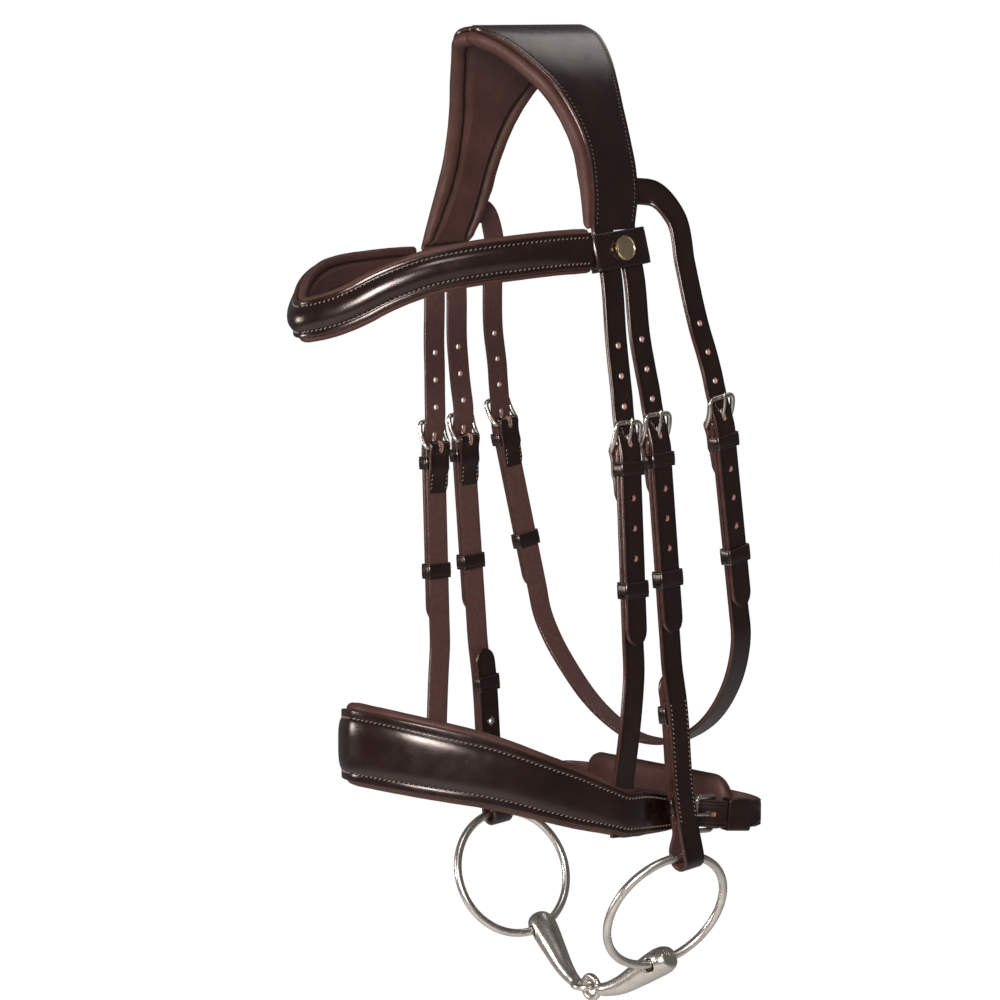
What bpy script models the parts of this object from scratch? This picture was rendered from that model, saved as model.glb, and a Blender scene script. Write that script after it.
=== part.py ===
"""A padded horse bridle with a loose ring snaffle, hung as on a head.

+X is the horse's near (left) side, -Y the horse's front and +Z up. The origin is the middle of the
crown lining's underside, where the poll carries the bridle. Every strap lies on a route, a smooth curve
with a frame: s runs along the strap, n points outwards from the head and w lies across the strap.
"""
import math

import bmesh
import bpy
import numpy as np
from mathutils import Matrix, Vector

for old in list(bpy.data.objects):
    bpy.data.objects.remove(old, do_unlink=True)

# Sizes of the whole bridle, in metres
HEAD_HALF_WIDTH = 0.100
HEAD_DEPTH = 0.100
HEAD_DROP = 0.500
CROWN_TILT = math.radians(7.3)

# Sizes of the leather
LEATHER = 0.0028
THIN_LEATHER = 0.0022
STRAP_WIDTH = 0.016
JAW_STRAP_WIDTH = 0.017
GAP = 0.0003
OVERRUN = 0.004

# Sizes of the buckles and keepers
BAR_RADIUS = 0.0016
BUCKLE_PITCH = 0.017
BUCKLE_SIDE_CLEARANCE = 0.00035
BUCKLE_APART = 0.0019
TONGUE_THICKNESS = 0.0022
TONGUE_WIDTH = 0.0024
TONGUE_SLOT_CLEARANCE = 0.0005
KEEPER_LEATHER = 0.0014
FIXED_KEEPER_LENGTH = 0.0085
RUNNER_LENGTH = 0.010
RUNNER_PLACE = 0.082
JAW_KEEPER_LENGTH = 0.017
KEEPER_WINDOW_CLEARANCE = 0.0005
HOLE_PITCH = 0.018
HOLE_DIAMETER = 0.0038
HOLES_EACH_WAY = 3
BILLET_LENGTH = 0.1155
JAW_BILLET_LENGTH = 0.030
CHAPE_LENGTH = 0.029

# Sizes of the padded pieces
CROWN_ROLL = 0.0040
BROW_HEIGHT = 0.021
BROW_LINING_HEIGHT = 0.0245
BROW_PAD = 0.0034
BROW_LINING = 0.0055
NOSE_HEIGHT = 0.044
NOSE_ROLL = 0.0025
NOSE_PAD = 0.0038
NOSE_LINING = 0.0065
JAW_PAD_HEIGHT = 0.036
JAW_PAD = 0.009
LOOP_LEATHER = 0.0024
LOOP_HEIGHT = 0.022
LOOP_CLEARANCE = 0.0008
LOOP_END_ROOM = 0.0026
BUTTON_RADIUS = 0.0075
BUTTON_HEIGHT = 0.0028

# Sizes of the bit
RING_RADIUS = 0.0415
RING_WIRE = 0.00265
RING_HOLE_CLEARANCE = 0.0016
CANNON_BUTT = 0.0082
CANNON_BUTT_LONG = 0.0098
CANNON_END = 0.0040
EYE_RADIUS = 0.0070
EYE_WIRE = 0.0021
EYE_OFFSET = 0.0034
NEAR_RING_YAW = math.radians(11)
OFF_RING_YAW = math.radians(-10)
CHEEK_LOOP_RADIUS = 0.0049
CHEEK_LOOP_ROOM = 0.0027
STUD_NECK = 0.0014
STUD_HEAD = 0.0026

# Values worked out from the sizes
LAYER_IN = BAR_RADIUS + GAP
LAYER_OUT = LAYER_IN + LEATHER
BILLET_IN = LAYER_OUT + GAP + GAP / 2
BILLET_OUT = BILLET_IN + LEATHER
TOE_RISE = BAR_RADIUS * 3.7
TOE_BILLET_OUT = TOE_RISE - BAR_RADIUS - GAP
KEEPER_BACK = LAYER_IN - GAP
KEEPER_FRONT = BILLET_OUT + GAP
FIXED_KEEPER_PLACE = LAYER_OUT + KEEPER_WINDOW_CLEARANCE + FIXED_KEEPER_LENGTH / 2 + GAP * 2


def rescaled(shares):
    """Points given as shares of the head's half width, depth and drop."""
    size = np.array([HEAD_HALF_WIDTH, HEAD_DEPTH, HEAD_DROP])
    return [np.array(row) * size for row in shares]


def unit(v):
    v = np.asarray(v, float)
    return v / np.linalg.norm(v, axis=-1, keepdims=True)


class Route:
    """A smooth curve through points, by arc length. Either one vector lies across it all along,
    or a function of the place says which way its outside faces."""

    def __init__(self, points, across=None, facing=None, steps=24):
        p = np.array(points, float)
        t = np.concatenate([[0], np.cumsum(np.linalg.norm(np.diff(p, axis=0), axis=1))])
        d = np.diff(p, axis=0) / np.diff(t)[:, None]
        h = np.diff(t)
        m = np.vstack([d[:1], (h[1:, None] * d[:-1] + h[:-1, None] * d[1:]) / (h[1:] + h[:-1])[:, None],
                       d[-1:]])
        rows = []
        for i, step in enumerate(h):
            u = np.linspace(0, 1, steps, endpoint=False)[:, None]
            rows.append((2 * u**3 - 3 * u**2 + 1) * p[i] + (u**3 - 2 * u**2 + u) * step * m[i]
                        + (3 * u**2 - 2 * u**3) * p[i + 1] + (u**3 - u**2) * step * m[i + 1])
        self.p = np.vstack(rows + [p[-1:]])
        self.s = np.concatenate([[0], np.cumsum(np.linalg.norm(np.diff(self.p, axis=0), axis=1))])
        self.length = self.s[-1]
        tangent = unit(np.gradient(self.p, self.s, axis=0))
        if across is not None:
            side = np.array(across, float)[None] - (tangent @ np.array(across, float))[:, None] * tangent
            self.w = unit(side)
            self.n = np.cross(tangent, self.w)
        else:
            out = np.array([facing(q) for q in self.p])
            out = unit(out - np.sum(out * tangent, axis=1)[:, None] * tangent)
            self.n = out
            self.w = np.cross(out, tangent)
        self.t = tangent

    def at(self, table, s):
        return np.stack([np.interp(s, self.s, table[:, i]) for i in range(3)], axis=-1)

    def frame(self, s):
        s = np.asarray(s, float)
        t, n, w = (unit(self.at(table, s)) for table in (self.t, self.n, self.w))
        beyond = s - np.clip(s, 0, self.length)
        return self.at(self.p, s) + beyond[..., None] * t, t, n, w

    def place(self, s, n, w):
        p, _, out, side = self.frame(s)
        return p + np.asarray(n, float)[..., None] * out + np.asarray(w, float)[..., None] * side

    def where(self, point):
        """The arc length nearest to a point."""
        return self.s[np.argmin(np.linalg.norm(self.p - np.asarray(point, float), axis=1))]


# Materials and collections
def principled(name, colour, roughness, metallic=0):
    made = bpy.data.materials.new(name)
    made.use_nodes = True
    shader = made.node_tree.nodes["Principled BSDF"]
    shader.inputs["Base Color"].default_value = (*colour, 1)
    shader.inputs["Roughness"].default_value = roughness
    shader.inputs["Metallic"].default_value = metallic
    return made


OUTER = principled("dark brown bridle leather", (0.045, 0.018, 0.014), 0.38)
SOFT = principled("soft brown lining leather", (0.085, 0.036, 0.027), 0.62)
STEEL = principled("stainless steel", (0.62, 0.60, 0.57), 0.22, 1)
GOLD = principled("gold plate", (0.72, 0.56, 0.34), 0.3, 1)

bridle = bpy.data.collections.new("horse bridle")
cutters = bpy.data.collections.new("cutters")
for made in (bridle, cutters):
    bpy.context.scene.collection.children.link(made)


def add_object(name, mesh, material, origin=None):
    """One named piece, with its origin on the joint that it moves about."""
    if origin is not None:
        mesh.transform(Matrix.Translation(-Vector(origin)))
    piece = bpy.data.objects.new(name, mesh)
    if origin is not None:
        piece.location = Vector(origin)
    mesh.materials.clear()
    mesh.materials.append(material)
    bridle.objects.link(piece)
    return piece


def mesh_from(bm, name, smooth=None):
    bmesh.ops.recalc_face_normals(bm, faces=bm.faces)
    if bm.calc_volume(signed=True) < 0:
        bmesh.ops.reverse_faces(bm, faces=bm.faces)
    mesh = bpy.data.meshes.new(name)
    bm.to_mesh(mesh)
    bm.free()
    if smooth:
        mesh.shade_smooth()
        mesh.set_sharp_from_angle(angle=smooth)
    return mesh


def mirrored(piece, name):
    """The off side's copy of a near side piece, turned over so that its faces still face out."""
    bm = bmesh.new()
    depsgraph = bpy.context.evaluated_depsgraph_get()
    bm.from_mesh(bpy.data.meshes.new_from_object(piece.evaluated_get(depsgraph)))
    bmesh.ops.transform(bm, matrix=Matrix.Translation(piece.location), verts=bm.verts)
    bmesh.ops.transform(bm, matrix=Matrix.Diagonal((-1, 1, 1, 1)), verts=bm.verts)
    bmesh.ops.reverse_faces(bm, faces=bm.faces)
    at = Vector((-piece.location.x, piece.location.y, piece.location.z))
    return add_object(name, mesh_from(bm, name, SMOOTH), piece.data.materials[0], at)


SMOOTH = math.radians(40)


def flat_mesh(loops, half):
    """A flat outline with its openings, thickened both ways, as a welded bmesh in (x, y, z)."""
    curve = bpy.data.curves.new("outline", "CURVE")
    curve.dimensions = "2D"
    curve.fill_mode = "BOTH"
    curve.extrude = half
    for loop in loops:
        spline = curve.splines.new("POLY")
        spline.points.add(len(loop) - 1)
        for point, (x, y) in zip(spline.points, loop):
            point.co = (x, y, 0, 1)
        spline.use_cyclic_u = True
    guide = bpy.data.objects.new("outline", curve)
    cutters.objects.link(guide)
    depsgraph = bpy.context.evaluated_depsgraph_get()
    mesh = bpy.data.meshes.new_from_object(guide.evaluated_get(depsgraph))
    bpy.data.objects.remove(guide)
    bm = bmesh.new()
    bm.from_mesh(mesh)
    bmesh.ops.remove_doubles(bm, verts=bm.verts, dist=WELD)
    return bm


WELD = 0.000001


def end_face(bm, s, low, high):
    """The face across a flat strap at s, between two heights."""
    return next(f for f in bm.faces if all(abs(v.co.x - s) < WELD * 5 and low - WELD * 5 < v.co.y < high
                                           + WELD * 5
                                           for v in f.verts))


def grow(bm, start, stations, low, high, keep_end=True):
    """Carries a flat strap on from its end face, one extrusion a station."""
    face = end_face(bm, start, low, high)
    for s in stations:
        grown = bmesh.ops.extrude_face_region(bm, geom=[face])["geom"]
        bmesh.ops.delete(bm, geom=[face], context="FACES_ONLY")
        for v in (g for g in grown if isinstance(g, bmesh.types.BMVert)):
            v.co.x = s
        face = next(g for g in grown if isinstance(g, bmesh.types.BMFace))
    if not keep_end:
        bmesh.ops.delete(bm, geom=[face], context="FACES_ONLY")


def bent(bm, route, start):
    """Lays a flat strap along its route, from the place start."""
    co = np.array([v.co for v in bm.verts])
    for v, q in zip(bm.verts, route.place(start + co[:, 0], co[:, 1], co[:, 2])):
        v.co = q
    return bm


def two_sided(bm):
    """Adds the mirror image of an open half and closes it at the middle plane."""
    for v in bm.verts:
        if abs(v.co.x) < WELD * 20:
            v.co.x = 0
    half = bmesh.ops.duplicate(bm, geom=bm.verts[:] + bm.edges[:] + bm.faces[:])["geom"]
    bmesh.ops.transform(bm, matrix=Matrix.Diagonal((-1, 1, 1, 1)),
                        verts=[g for g in half if isinstance(g, bmesh.types.BMVert)])
    bmesh.ops.remove_doubles(bm, verts=bm.verts, dist=WELD * 5)
    return bm


def ring_piece(name, loops, half, route, middle, material, origin=None, smooth=None):
    """A loop round a strap: an outline in (w, n) thickened along the strap at one place on its route."""
    bm = flat_mesh(loops, half)
    p, t, n, w = route.frame(middle)
    co = np.array([v.co for v in bm.verts])
    for v, (x, y, z) in zip(bm.verts, co):
        v.co = p + x * w + y * n + z * t
    return add_object(name, mesh_from(bm, name, smooth), material, origin)


def rounded_box(x0, x1, y0, y1, radius, turns=3):
    """A rectangle with round corners, as points."""
    points = []
    for cx, cy, start in ((x1 - radius, y1 - radius, 0), (x0 + radius, y1 - radius, 1),
                          (x0 + radius, y0 + radius, 2), (x1 - radius, y0 + radius, 3)):
        for i in range(turns + 1):
            a = (start + i / turns) * math.pi / 2
            points.append((cx + radius * math.cos(a), cy + radius * math.sin(a)))
    return points


def circle(x, y, radius, count, first=0.0, turn=1.0):
    return [(x + radius * math.cos(2 * math.pi * (first + turn * i / count)),
             y + radius * math.sin(2 * math.pi * (first + turn * i / count))) for i in range(count)]


def sleeve(name, stations, section, place, material, origin=None, smooth=None, finish=True):
    """A closed tube: a grid whose columns go round the section and whose rows follow the stations."""
    count = len(section(stations[0]))
    bm = bmesh.new()
    bmesh.ops.create_grid(bm, x_segments=count, y_segments=len(stations) - 1, size=1)
    for v in bm.verts:
        i = round((v.co.x + 1) / 2 * count) % count
        j = round((v.co.y + 1) / 2 * (len(stations) - 1))
        n, w = section(stations[j])[i]
        v.co = place(stations[j], n, w)
    bmesh.ops.remove_doubles(bm, verts=bm.verts, dist=WELD)
    edges = [e for e in bm.edges if e.is_boundary]
    bmesh.ops.holes_fill(bm, edges=edges, sides=0)
    if not finish:
        return bm
    return add_object(name, mesh_from(bm, name, smooth), material, origin)


def both_sides(mesh):
    """A cutter with its mirror image, as one mesh."""
    bm = bmesh.new()
    bm.from_mesh(mesh)
    return mesh_from(two_sided(bm), mesh.name)


def as_cutter(name, mesh):
    cutter = bpy.data.objects.new(name, mesh)
    cutter.hide_render = True
    cutter.display_type = "WIRE"
    cutters.objects.link(cutter)
    return cutter


def boolean(piece, cutter, operation="DIFFERENCE"):
    cut = piece.modifiers.new(cutter.name, "BOOLEAN")
    cut.operation = operation
    cut.solver = "EXACT"
    cut.object = cutter


def block_mesh(route, start, s, n, w, steps=1):
    """A block that follows a route, for slots and recesses."""
    bm = bmesh.new()
    bmesh.ops.create_cube(bm, size=1)
    if steps > 1:
        along = [e for e in bm.edges if abs(e.verts[0].co.x - e.verts[1].co.x) > 0.5]
        bmesh.ops.subdivide_edges(bm, edges=along, cuts=steps - 1, use_grid_fill=True)
    for v in bm.verts:
        share = v.co + Vector((0.5, 0.5, 0.5))
        v.co = route.place(start + s[0] + (s[1] - s[0]) * share.x, n[0] + (n[1] - n[0]) * share.y,
                           w[0] + (w[1] - w[0]) * share.z)
    bmesh.ops.recalc_face_normals(bm, faces=bm.faces)
    return bm


# Routes of the straps, near side. The part of a strap that lies under its billet is straight.
def strap_points(upper, heel, tip, lower):
    """Upper points, the straight run from above the buckle to past the billet's tip,
    and the lower points."""
    heel, tip = np.array(heel), np.array(tip)
    along = unit(tip - heel)
    reach = np.linalg.norm(tip - heel)
    run = [heel - along * BUCKLE_PITCH, heel - along * BUCKLE_PITCH / 2, heel, tip]
    return list(upper) + run + [heel + along * (reach + STRAP_WIDTH)] + list(lower)


def sideways(q):
    return np.array([math.copysign(1, q[0]), 0, 0])


A_UPPER_SHARES = ((0.804, -0.065, -0.236), (0.832, -0.020, -0.292), (0.858, -0.002, -0.369),
                  (0.868, 0.012, -0.405))
A_HEEL_SHARE, A_TIP_SHARE = (0.884, 0.039, -0.5006), (0.899, 0.086, -0.7300)
A_LOWER_SHARES = ((0.900, 0.080, -0.800), (0.888, 0.058, -0.850), (0.868, 0.034, -0.902),
                  (0.866, 0.022, -0.960))
B_UPPER_SHARES = ((0.804, 0.115, -0.236), (0.832, 0.165, -0.290), (0.858, 0.192, -0.3646),
                  (0.870, 0.221, -0.400))
B_HEEL_SHARE, B_TIP_SHARE = (0.882, 0.289, -0.4908), (0.895, 0.398, -0.7276)
B_LOWER_SHARES = ((0.903, 0.450, -0.806), (0.912, 0.510, -0.926), (0.921, 0.548, -0.970),
                  (0.937, 0.572, -1.000), (0.944, 0.585, -1.030))
T_UPPER_SHARES = ((0.772, 0.250, -0.188), (0.812, 0.385, -0.1910), (0.852, 0.495, -0.2175),
                  (0.898, 0.530, -0.274), (0.955, 0.585, -0.3456), (0.982, 0.645, -0.3902))
T_HEEL_SHARE, T_TIP_SHARE = (0.993, 0.725, -0.4684), (0.922, 0.970, -0.6980)
T_LOWER_SHARES = ((0.850, 1.045, -0.7650), (0.735, 1.090, -0.8025), (0.520, 1.130, -0.8475),
                  (0.350, 1.142, -0.8680), (0.170, 1.148, -0.8815))
T_LOWEST_SHARE = (0.0, 1.150, -0.8845)

SPREAD_SHARE = 0.25  # of the depth, between the noseband's and the cheek's straps in the tables
BUCKLE_SPREAD = STRAP_WIDTH + (BUCKLE_SIDE_CLEARANCE + BAR_RADIUS * 2) * 2 + BUCKLE_APART


def beside(shares, share=SPREAD_SHARE, spread=BUCKLE_SPREAD):
    """Places of the cheek's strap: its buckle stays clear of the noseband's at any depth."""
    return [q + np.array([0, spread - share * HEAD_DEPTH, 0]) for q in rescaled(shares)]


A_ROUTE = Route(strap_points(rescaled(A_UPPER_SHARES), *rescaled((A_HEEL_SHARE, A_TIP_SHARE)),
                             rescaled(A_LOWER_SHARES)), facing=sideways)
B_ROUTE = Route(strap_points(beside(B_UPPER_SHARES), *beside((B_HEEL_SHARE, B_TIP_SHARE)),
                             beside(B_LOWER_SHARES)), facing=sideways)

throat_tip = rescaled((T_TIP_SHARE,))[0]


def hanging(q):
    """Sideways beside the head, and down where the throatlatch passes under it."""
    return np.array([q[0], 0, min(0.0, q[2] - throat_tip[2])])


throat_half = strap_points(rescaled(T_UPPER_SHARES), *rescaled((T_HEEL_SHARE, T_TIP_SHARE)),
                           rescaled(T_LOWER_SHARES))
flip_x = np.array([-1, 1, 1])
T_ROUTE = Route(throat_half + rescaled((T_LOWEST_SHARE,)) + [q * flip_x for q in reversed(throat_half)],
                facing=hanging)

SITES = {"noseband": (A_ROUTE, A_HEEL_SHARE), "cheek": (B_ROUTE, B_HEEL_SHARE),
         "throat": (T_ROUTE, T_HEEL_SHARE)}
HEELS = {name: route.where((beside if name == "cheek" else rescaled)((share,))[0])
         for name, (route, share) in SITES.items()}

# Headpiece: one cut piece of leather, three billets a side, each pierced for its buckle
CROWN_ROW_SHARES = (  # arch half width, arch height over the drop, front edge and rear edge over the depth
    (0.00, 0.024, -0.40, 0.45), (0.05, 0.024, -0.425, 0.448), (0.08, 0.024, -0.435, 0.447),
    (0.14, 0.0175, -0.425, 0.455), (0.21, 0.0080, -0.375, 0.465), (0.28, -0.0040, -0.325, 0.450),
    (0.41, -0.032, -0.235, 0.402), (0.50, -0.056, -0.168, 0.358), (0.60, -0.0915, -0.110, 0.315),
    (0.70, -0.1365, -0.078, 0.287), (0.755, -0.169, -0.090, 0.276), (0.80, -0.2035, -0.115, 0.248))
CROWN_END_SHARE = (0.83, -0.236)
TIP_SHARES = ((0, 1), (0.3, 0.97), (0.62, 0.84), (0.86, 0.55), (1, 0.22))  # of the strap's half width
TIP_LENGTH = STRAP_WIDTH * 0.55
tilt = (0, math.cos(CROWN_TILT), math.sin(CROWN_TILT))
arch = [np.array([x * HEAD_HALF_WIDTH, 0, z * HEAD_DROP]) for x, z, _, _ in CROWN_ROW_SHARES]
CROWN_PAD = arch[0][2] * math.cos(CROWN_TILT) - LEATHER - GAP * 2
arch.append(np.array([CROWN_END_SHARE[0] * HEAD_HALF_WIDTH, 0, CROWN_END_SHARE[1] * HEAD_DROP]))
CROWN_POINTS = [q * flip_x for q in reversed(arch[1:])] + arch
CROWN = Route(CROWN_POINTS, across=tilt)
CROWN.w[:] = tilt


def crown_edges(x):
    """The crown's front and rear edge beside the arch place x."""
    table = np.array(CROWN_ROW_SHARES + ((*CROWN_END_SHARE, -0.145, 0.195),))
    half = x / HEAD_HALF_WIDTH
    return tuple(np.interp(half, table[:, 0], table[:, i]) * HEAD_DEPTH for i in (2, 3))


def billet_out(s, rest):
    """How far the billet's outer face lies from the route: over the heel bar, behind the toe bar."""
    toe = -BUCKLE_PITCH
    places = (toe * 3, toe * 2, toe, 0)
    heights = (rest, (rest + TOE_BILLET_OUT) / 2, TOE_BILLET_OUT, BILLET_OUT)
    return np.interp(s, places, heights)


BILLET_ROW_SHARES = (-7.3, -6.4, -5.5, -4.6, -3.7, -3, -2.5, -2, -1.5, -1, -0.75, -0.5, -0.25,
                     0)  # of the buckle pitch


def billet_rows(route, heel, top, length, width, rest):
    """Rows of the two edges of a billet: outer face points from its top to its pointed tip."""
    places = [s for s in (share * BUCKLE_PITCH for share in BILLET_ROW_SHARES) if heel + s > top
              + STRAP_WIDTH / 2]
    run = length - TIP_LENGTH
    places += [run * share for share in (0.33, 0.66)]
    rows = [(s, 1) for s in places] + [(run + share * TIP_LENGTH, wide) for share, wide in TIP_SHARES]
    if top > 0:
        rows.insert(0, (top - heel, 1))
    return [[route.place(heel + s, billet_out(s, rest), side * wide * width / 2) for side in (-1, 1)]
            for s, wide in rows]


def quads(bm, rows):
    """A strip of faces from a grid of places, one column of the grid a place across."""
    wide = len(rows[0])
    grid = bmesh.ops.create_grid(bm, x_segments=wide - 1, y_segments=len(rows) - 1, size=1)
    for v in grid["verts"]:
        v.co = rows[round((v.co.y + 1) / 2 * (len(rows) - 1))][round((v.co.x + 1) / 2 * (wide - 1))]


def crown_row(arc, shares):
    x = CROWN.frame(arc)[0][0]
    front, rear = crown_edges(abs(x))
    slant = math.cos(CROWN_TILT)
    return [CROWN.place(arc, 0, (front + (rear - front) * share) / slant) for share in shares]


COLUMN_SHARES = (0, 0.47, 0.53, 1)
bm = bmesh.new()
crown_rows = [crown_row(CROWN.where(q), COLUMN_SHARES) for q in arch]
a_rows = billet_rows(A_ROUTE, HEELS["noseband"], 0, BILLET_LENGTH, STRAP_WIDTH, LEATHER)
b_rows = billet_rows(B_ROUTE, HEELS["cheek"], 0, BILLET_LENGTH, STRAP_WIDTH, LEATHER)
branch = HEELS["throat"] - STRAP_WIDTH * 0.2
t_rows = [[T_ROUTE.place(share * branch, LEATHER, side * STRAP_WIDTH / 2) for side in (-1, 1)]
          for share in (0.12, 0.22, 0.32, 0.42, 0.52)]
t_top = 0.6 * branch
t_rows += billet_rows(T_ROUTE, HEELS["throat"], t_top, BILLET_LENGTH, STRAP_WIDTH, LEATHER)
quads(bm, crown_rows)
quads(bm, [crown_rows[-1][:2]] + a_rows)
quads(bm, [crown_rows[-1][2:]] + b_rows)
quads(bm, [[crown_rows[-2][3], crown_rows[-3][3]]] + t_rows)
bmesh.ops.remove_doubles(bm, verts=bm.verts, dist=WELD)
half = bmesh.ops.duplicate(bm, geom=bm.verts[:] + bm.edges[:] + bm.faces[:])["geom"]
bmesh.ops.transform(bm, matrix=Matrix.Diagonal((-1, 1, 1, 1)),
                    verts=[g for g in half if isinstance(g, bmesh.types.BMVert)])
bmesh.ops.remove_doubles(bm, verts=bm.verts, dist=WELD)
bmesh.ops.recalc_face_normals(bm, faces=bm.faces)
top = max(bm.faces, key=lambda f: f.calc_center_median().z)
if top.normal.z < 0:
    bmesh.ops.reverse_faces(bm, faces=bm.faces)
mesh = bpy.data.meshes.new("headpiece_leather")
bm.to_mesh(mesh)
bm.free()
headpiece = add_object("headpiece_leather", mesh, OUTER)
thick = headpiece.modifiers.new("leather", "SOLIDIFY")
thick.thickness = LEATHER
thick.offset = -1
thick.use_even_offset = True

# Holes: a slot where the tongue passes now, and round holes above and below it
IN_USE = -BUCKLE_PITCH / 2
SLOT_HALF = BUCKLE_PITCH * 0.29
SLOT_WIDTH = TONGUE_WIDTH + 2 * BUCKLE_SIDE_CLEARANCE
cut = bmesh.new()
for name, (route, _) in SITES.items():
    for k in range(-HOLES_EACH_WAY, HOLES_EACH_WAY + 2):
        s = IN_USE + k * HOLE_PITCH
        p, t, n, w = route.frame(HEELS[name] + s)
        if k == 0:
            piece = block_mesh(route, HEELS[name] + s, (-SLOT_HALF, SLOT_HALF), (-OVERRUN,
                                                                                 BILLET_OUT + OVERRUN),
                               (-SLOT_WIDTH / 2, SLOT_WIDTH / 2))
            piece.to_mesh(mesh := bpy.data.meshes.new("slot"))
            piece.free()
            cut.from_mesh(mesh)
            continue
        if k == 1:
            continue
        turn = Matrix((t, w, n)).transposed().to_4x4()
        centre = p + n * (billet_out(s, LEATHER) - LEATHER / 2)
        bmesh.ops.create_cone(cut, cap_ends=True, segments=8, radius1=HOLE_DIAMETER / 2,
                              radius2=HOLE_DIAMETER / 2,
                              depth=LEATHER * 2.6, matrix=Matrix.Translation(Vector(centre)) @ turn)
boolean(headpiece, as_cutter("punch", both_sides(mesh_from(cut, "punch"))))

# Headpiece lining: padded soft leather under the crown with a roll along both edges
LINING_END = LEATHER * 1.4
lining_places = [LINING_END] + [CROWN.where(q) for q in CROWN_POINTS[1:-1] if q[0]] + [CROWN.length
                                                                                       - LINING_END]


branch_arc = (CROWN.where(CROWN_POINTS[2]) + CROWN.where(CROWN_POINTS[3])) / 2


def crown_lining_section(arc):
    """Points (n, w) round the lining at a place on the arch: flat against the leather, padded below."""
    front, rear = (edge / math.cos(CROWN_TILT) for edge in crown_edges(abs(CROWN.frame(arc)[0][0])))
    end = min(arc, CROWN.length - arc) / CROWN.length
    fill = min(1, 0.55 + end * 4)
    top = -LEATHER - GAP * 2
    low = top - CROWN_PAD * fill
    roll = CROWN_ROLL * fill
    wide = rear - front
    free = 1 if branch_arc < arc < CROWN.length - branch_arc else 0
    return [(top, front + roll), (top, rear - roll), (top, rear), (top + roll / 2 * free, rear + GAP * 2),
            (top + roll / 3 * free, rear + roll * 0.6), (top - roll / 2, rear + roll), (low + roll / 2, rear
                                                                                        + roll * 0.7),
            (low, rear - roll * 0.4), (low, rear - wide * 0.3), (low, front + wide * 0.3), (low, front
                                                                                            + roll * 0.4),
            (low + roll / 2, front - roll * 0.7), (top - roll / 2, front - roll), (top + roll / 3, front
                                                                                   - roll * 0.6),
            (top + roll / 2, front - GAP * 2), (top, front)]


sleeve("headpiece_lining", lining_places, crown_lining_section, lambda arc, n, w: CROWN.place(arc, n, w),
       SOFT,
       smooth=SMOOTH)

# Straps below the buckles: the leather wraps the heel bar and is sewn back behind itself
WRAP_BACK = LAYER_OUT - (LEATHER - THIN_LEATHER)
CHAPE_BACK = -GAP / 3
WINDOW_START = LAYER_IN + GAP * 12


def strap_end(window, chape, half):
    """The buckle end of a strap: from its face at the joint round the heel bar to its turned-back,
    thinned tip."""
    back = CHAPE_BACK - THIN_LEATHER
    outer = [(chape + THIN_LEATHER, LAYER_OUT), (chape + THIN_LEATHER, LAYER_IN), (chape, LAYER_IN - GAP),
             (chape - THIN_LEATHER * 2, LAYER_IN - THIN_LEATHER), (window + THIN_LEATHER, back),
             (WINDOW_START, back), (LAYER_IN, -WRAP_BACK * 0.93)]
    for i in range(9):
        a = math.pi * (1.5 - i / 8)
        r = WRAP_BACK + (LAYER_OUT - WRAP_BACK) * i / 8
        outer.append((r * math.cos(a), r * math.sin(a)))
    keeper_window = [(WINDOW_START, CHAPE_BACK), (window, CHAPE_BACK), (window, LAYER_IN),
                     (WINDOW_START, LAYER_IN)]
    return flat_mesh([outer, circle(0, 0, LAYER_IN, 10), keeper_window], half)


def stations(start, end, step):
    """Even stations after the start, up to and with the end."""
    count = max(1, math.ceil(abs(end - start) / step - 0.01))
    return [start + (end - start) * (i + 1) / count for i in range(count)]


STEP = STRAP_WIDTH * 0.9
FIXED_WINDOW = FIXED_KEEPER_PLACE + FIXED_KEEPER_LENGTH / 2 + KEEPER_WINDOW_CLEARANCE


def tongue_slot(route, heel):
    half = TONGUE_WIDTH / 2 + TONGUE_SLOT_CLEARANCE
    return mesh_from(block_mesh(route, heel, (-LAYER_OUT - OVERRUN, LAYER_IN * 1.9), (-LAYER_OUT - OVERRUN,
                     LAYER_OUT + OVERRUN), (-half, half)), "tongue slot")


JOINT = CHAPE_LENGTH + THIN_LEATHER


def plain_strap(name, route, heel, length):
    """A strap from its buckle to a plain lower end."""
    bm = strap_end(FIXED_WINDOW, CHAPE_LENGTH, STRAP_WIDTH / 2)
    grow(bm, JOINT, stations(JOINT, length, STEP), LAYER_IN, LAYER_OUT)
    piece = add_object(name, mesh_from(bent(bm, route, heel), name), OUTER)
    boolean(piece, as_cutter(name + " slot", tongue_slot(route, heel)))
    return piece


hanger = plain_strap("noseband_hanger_near", A_ROUTE, HEELS["noseband"], A_ROUTE.length - HEELS["noseband"])

# Throatlatch: one strap with a buckle end at each side
throat_middle = T_ROUTE.length / 2 - HEELS["throat"]
bm = strap_end(FIXED_WINDOW, CHAPE_LENGTH, STRAP_WIDTH / 2)
grow(bm, JOINT, stations(JOINT, throat_middle, STEP * 0.75), LAYER_IN, LAYER_OUT, keep_end=False)
throat = add_object("throatlatch", mesh_from(two_sided(bent(bm, T_ROUTE, HEELS["throat"])), "throatlatch"),
                    OUTER)
boolean(throat, as_cutter("throat slots", both_sides(tongue_slot(T_ROUTE, HEELS["throat"]))))

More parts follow.
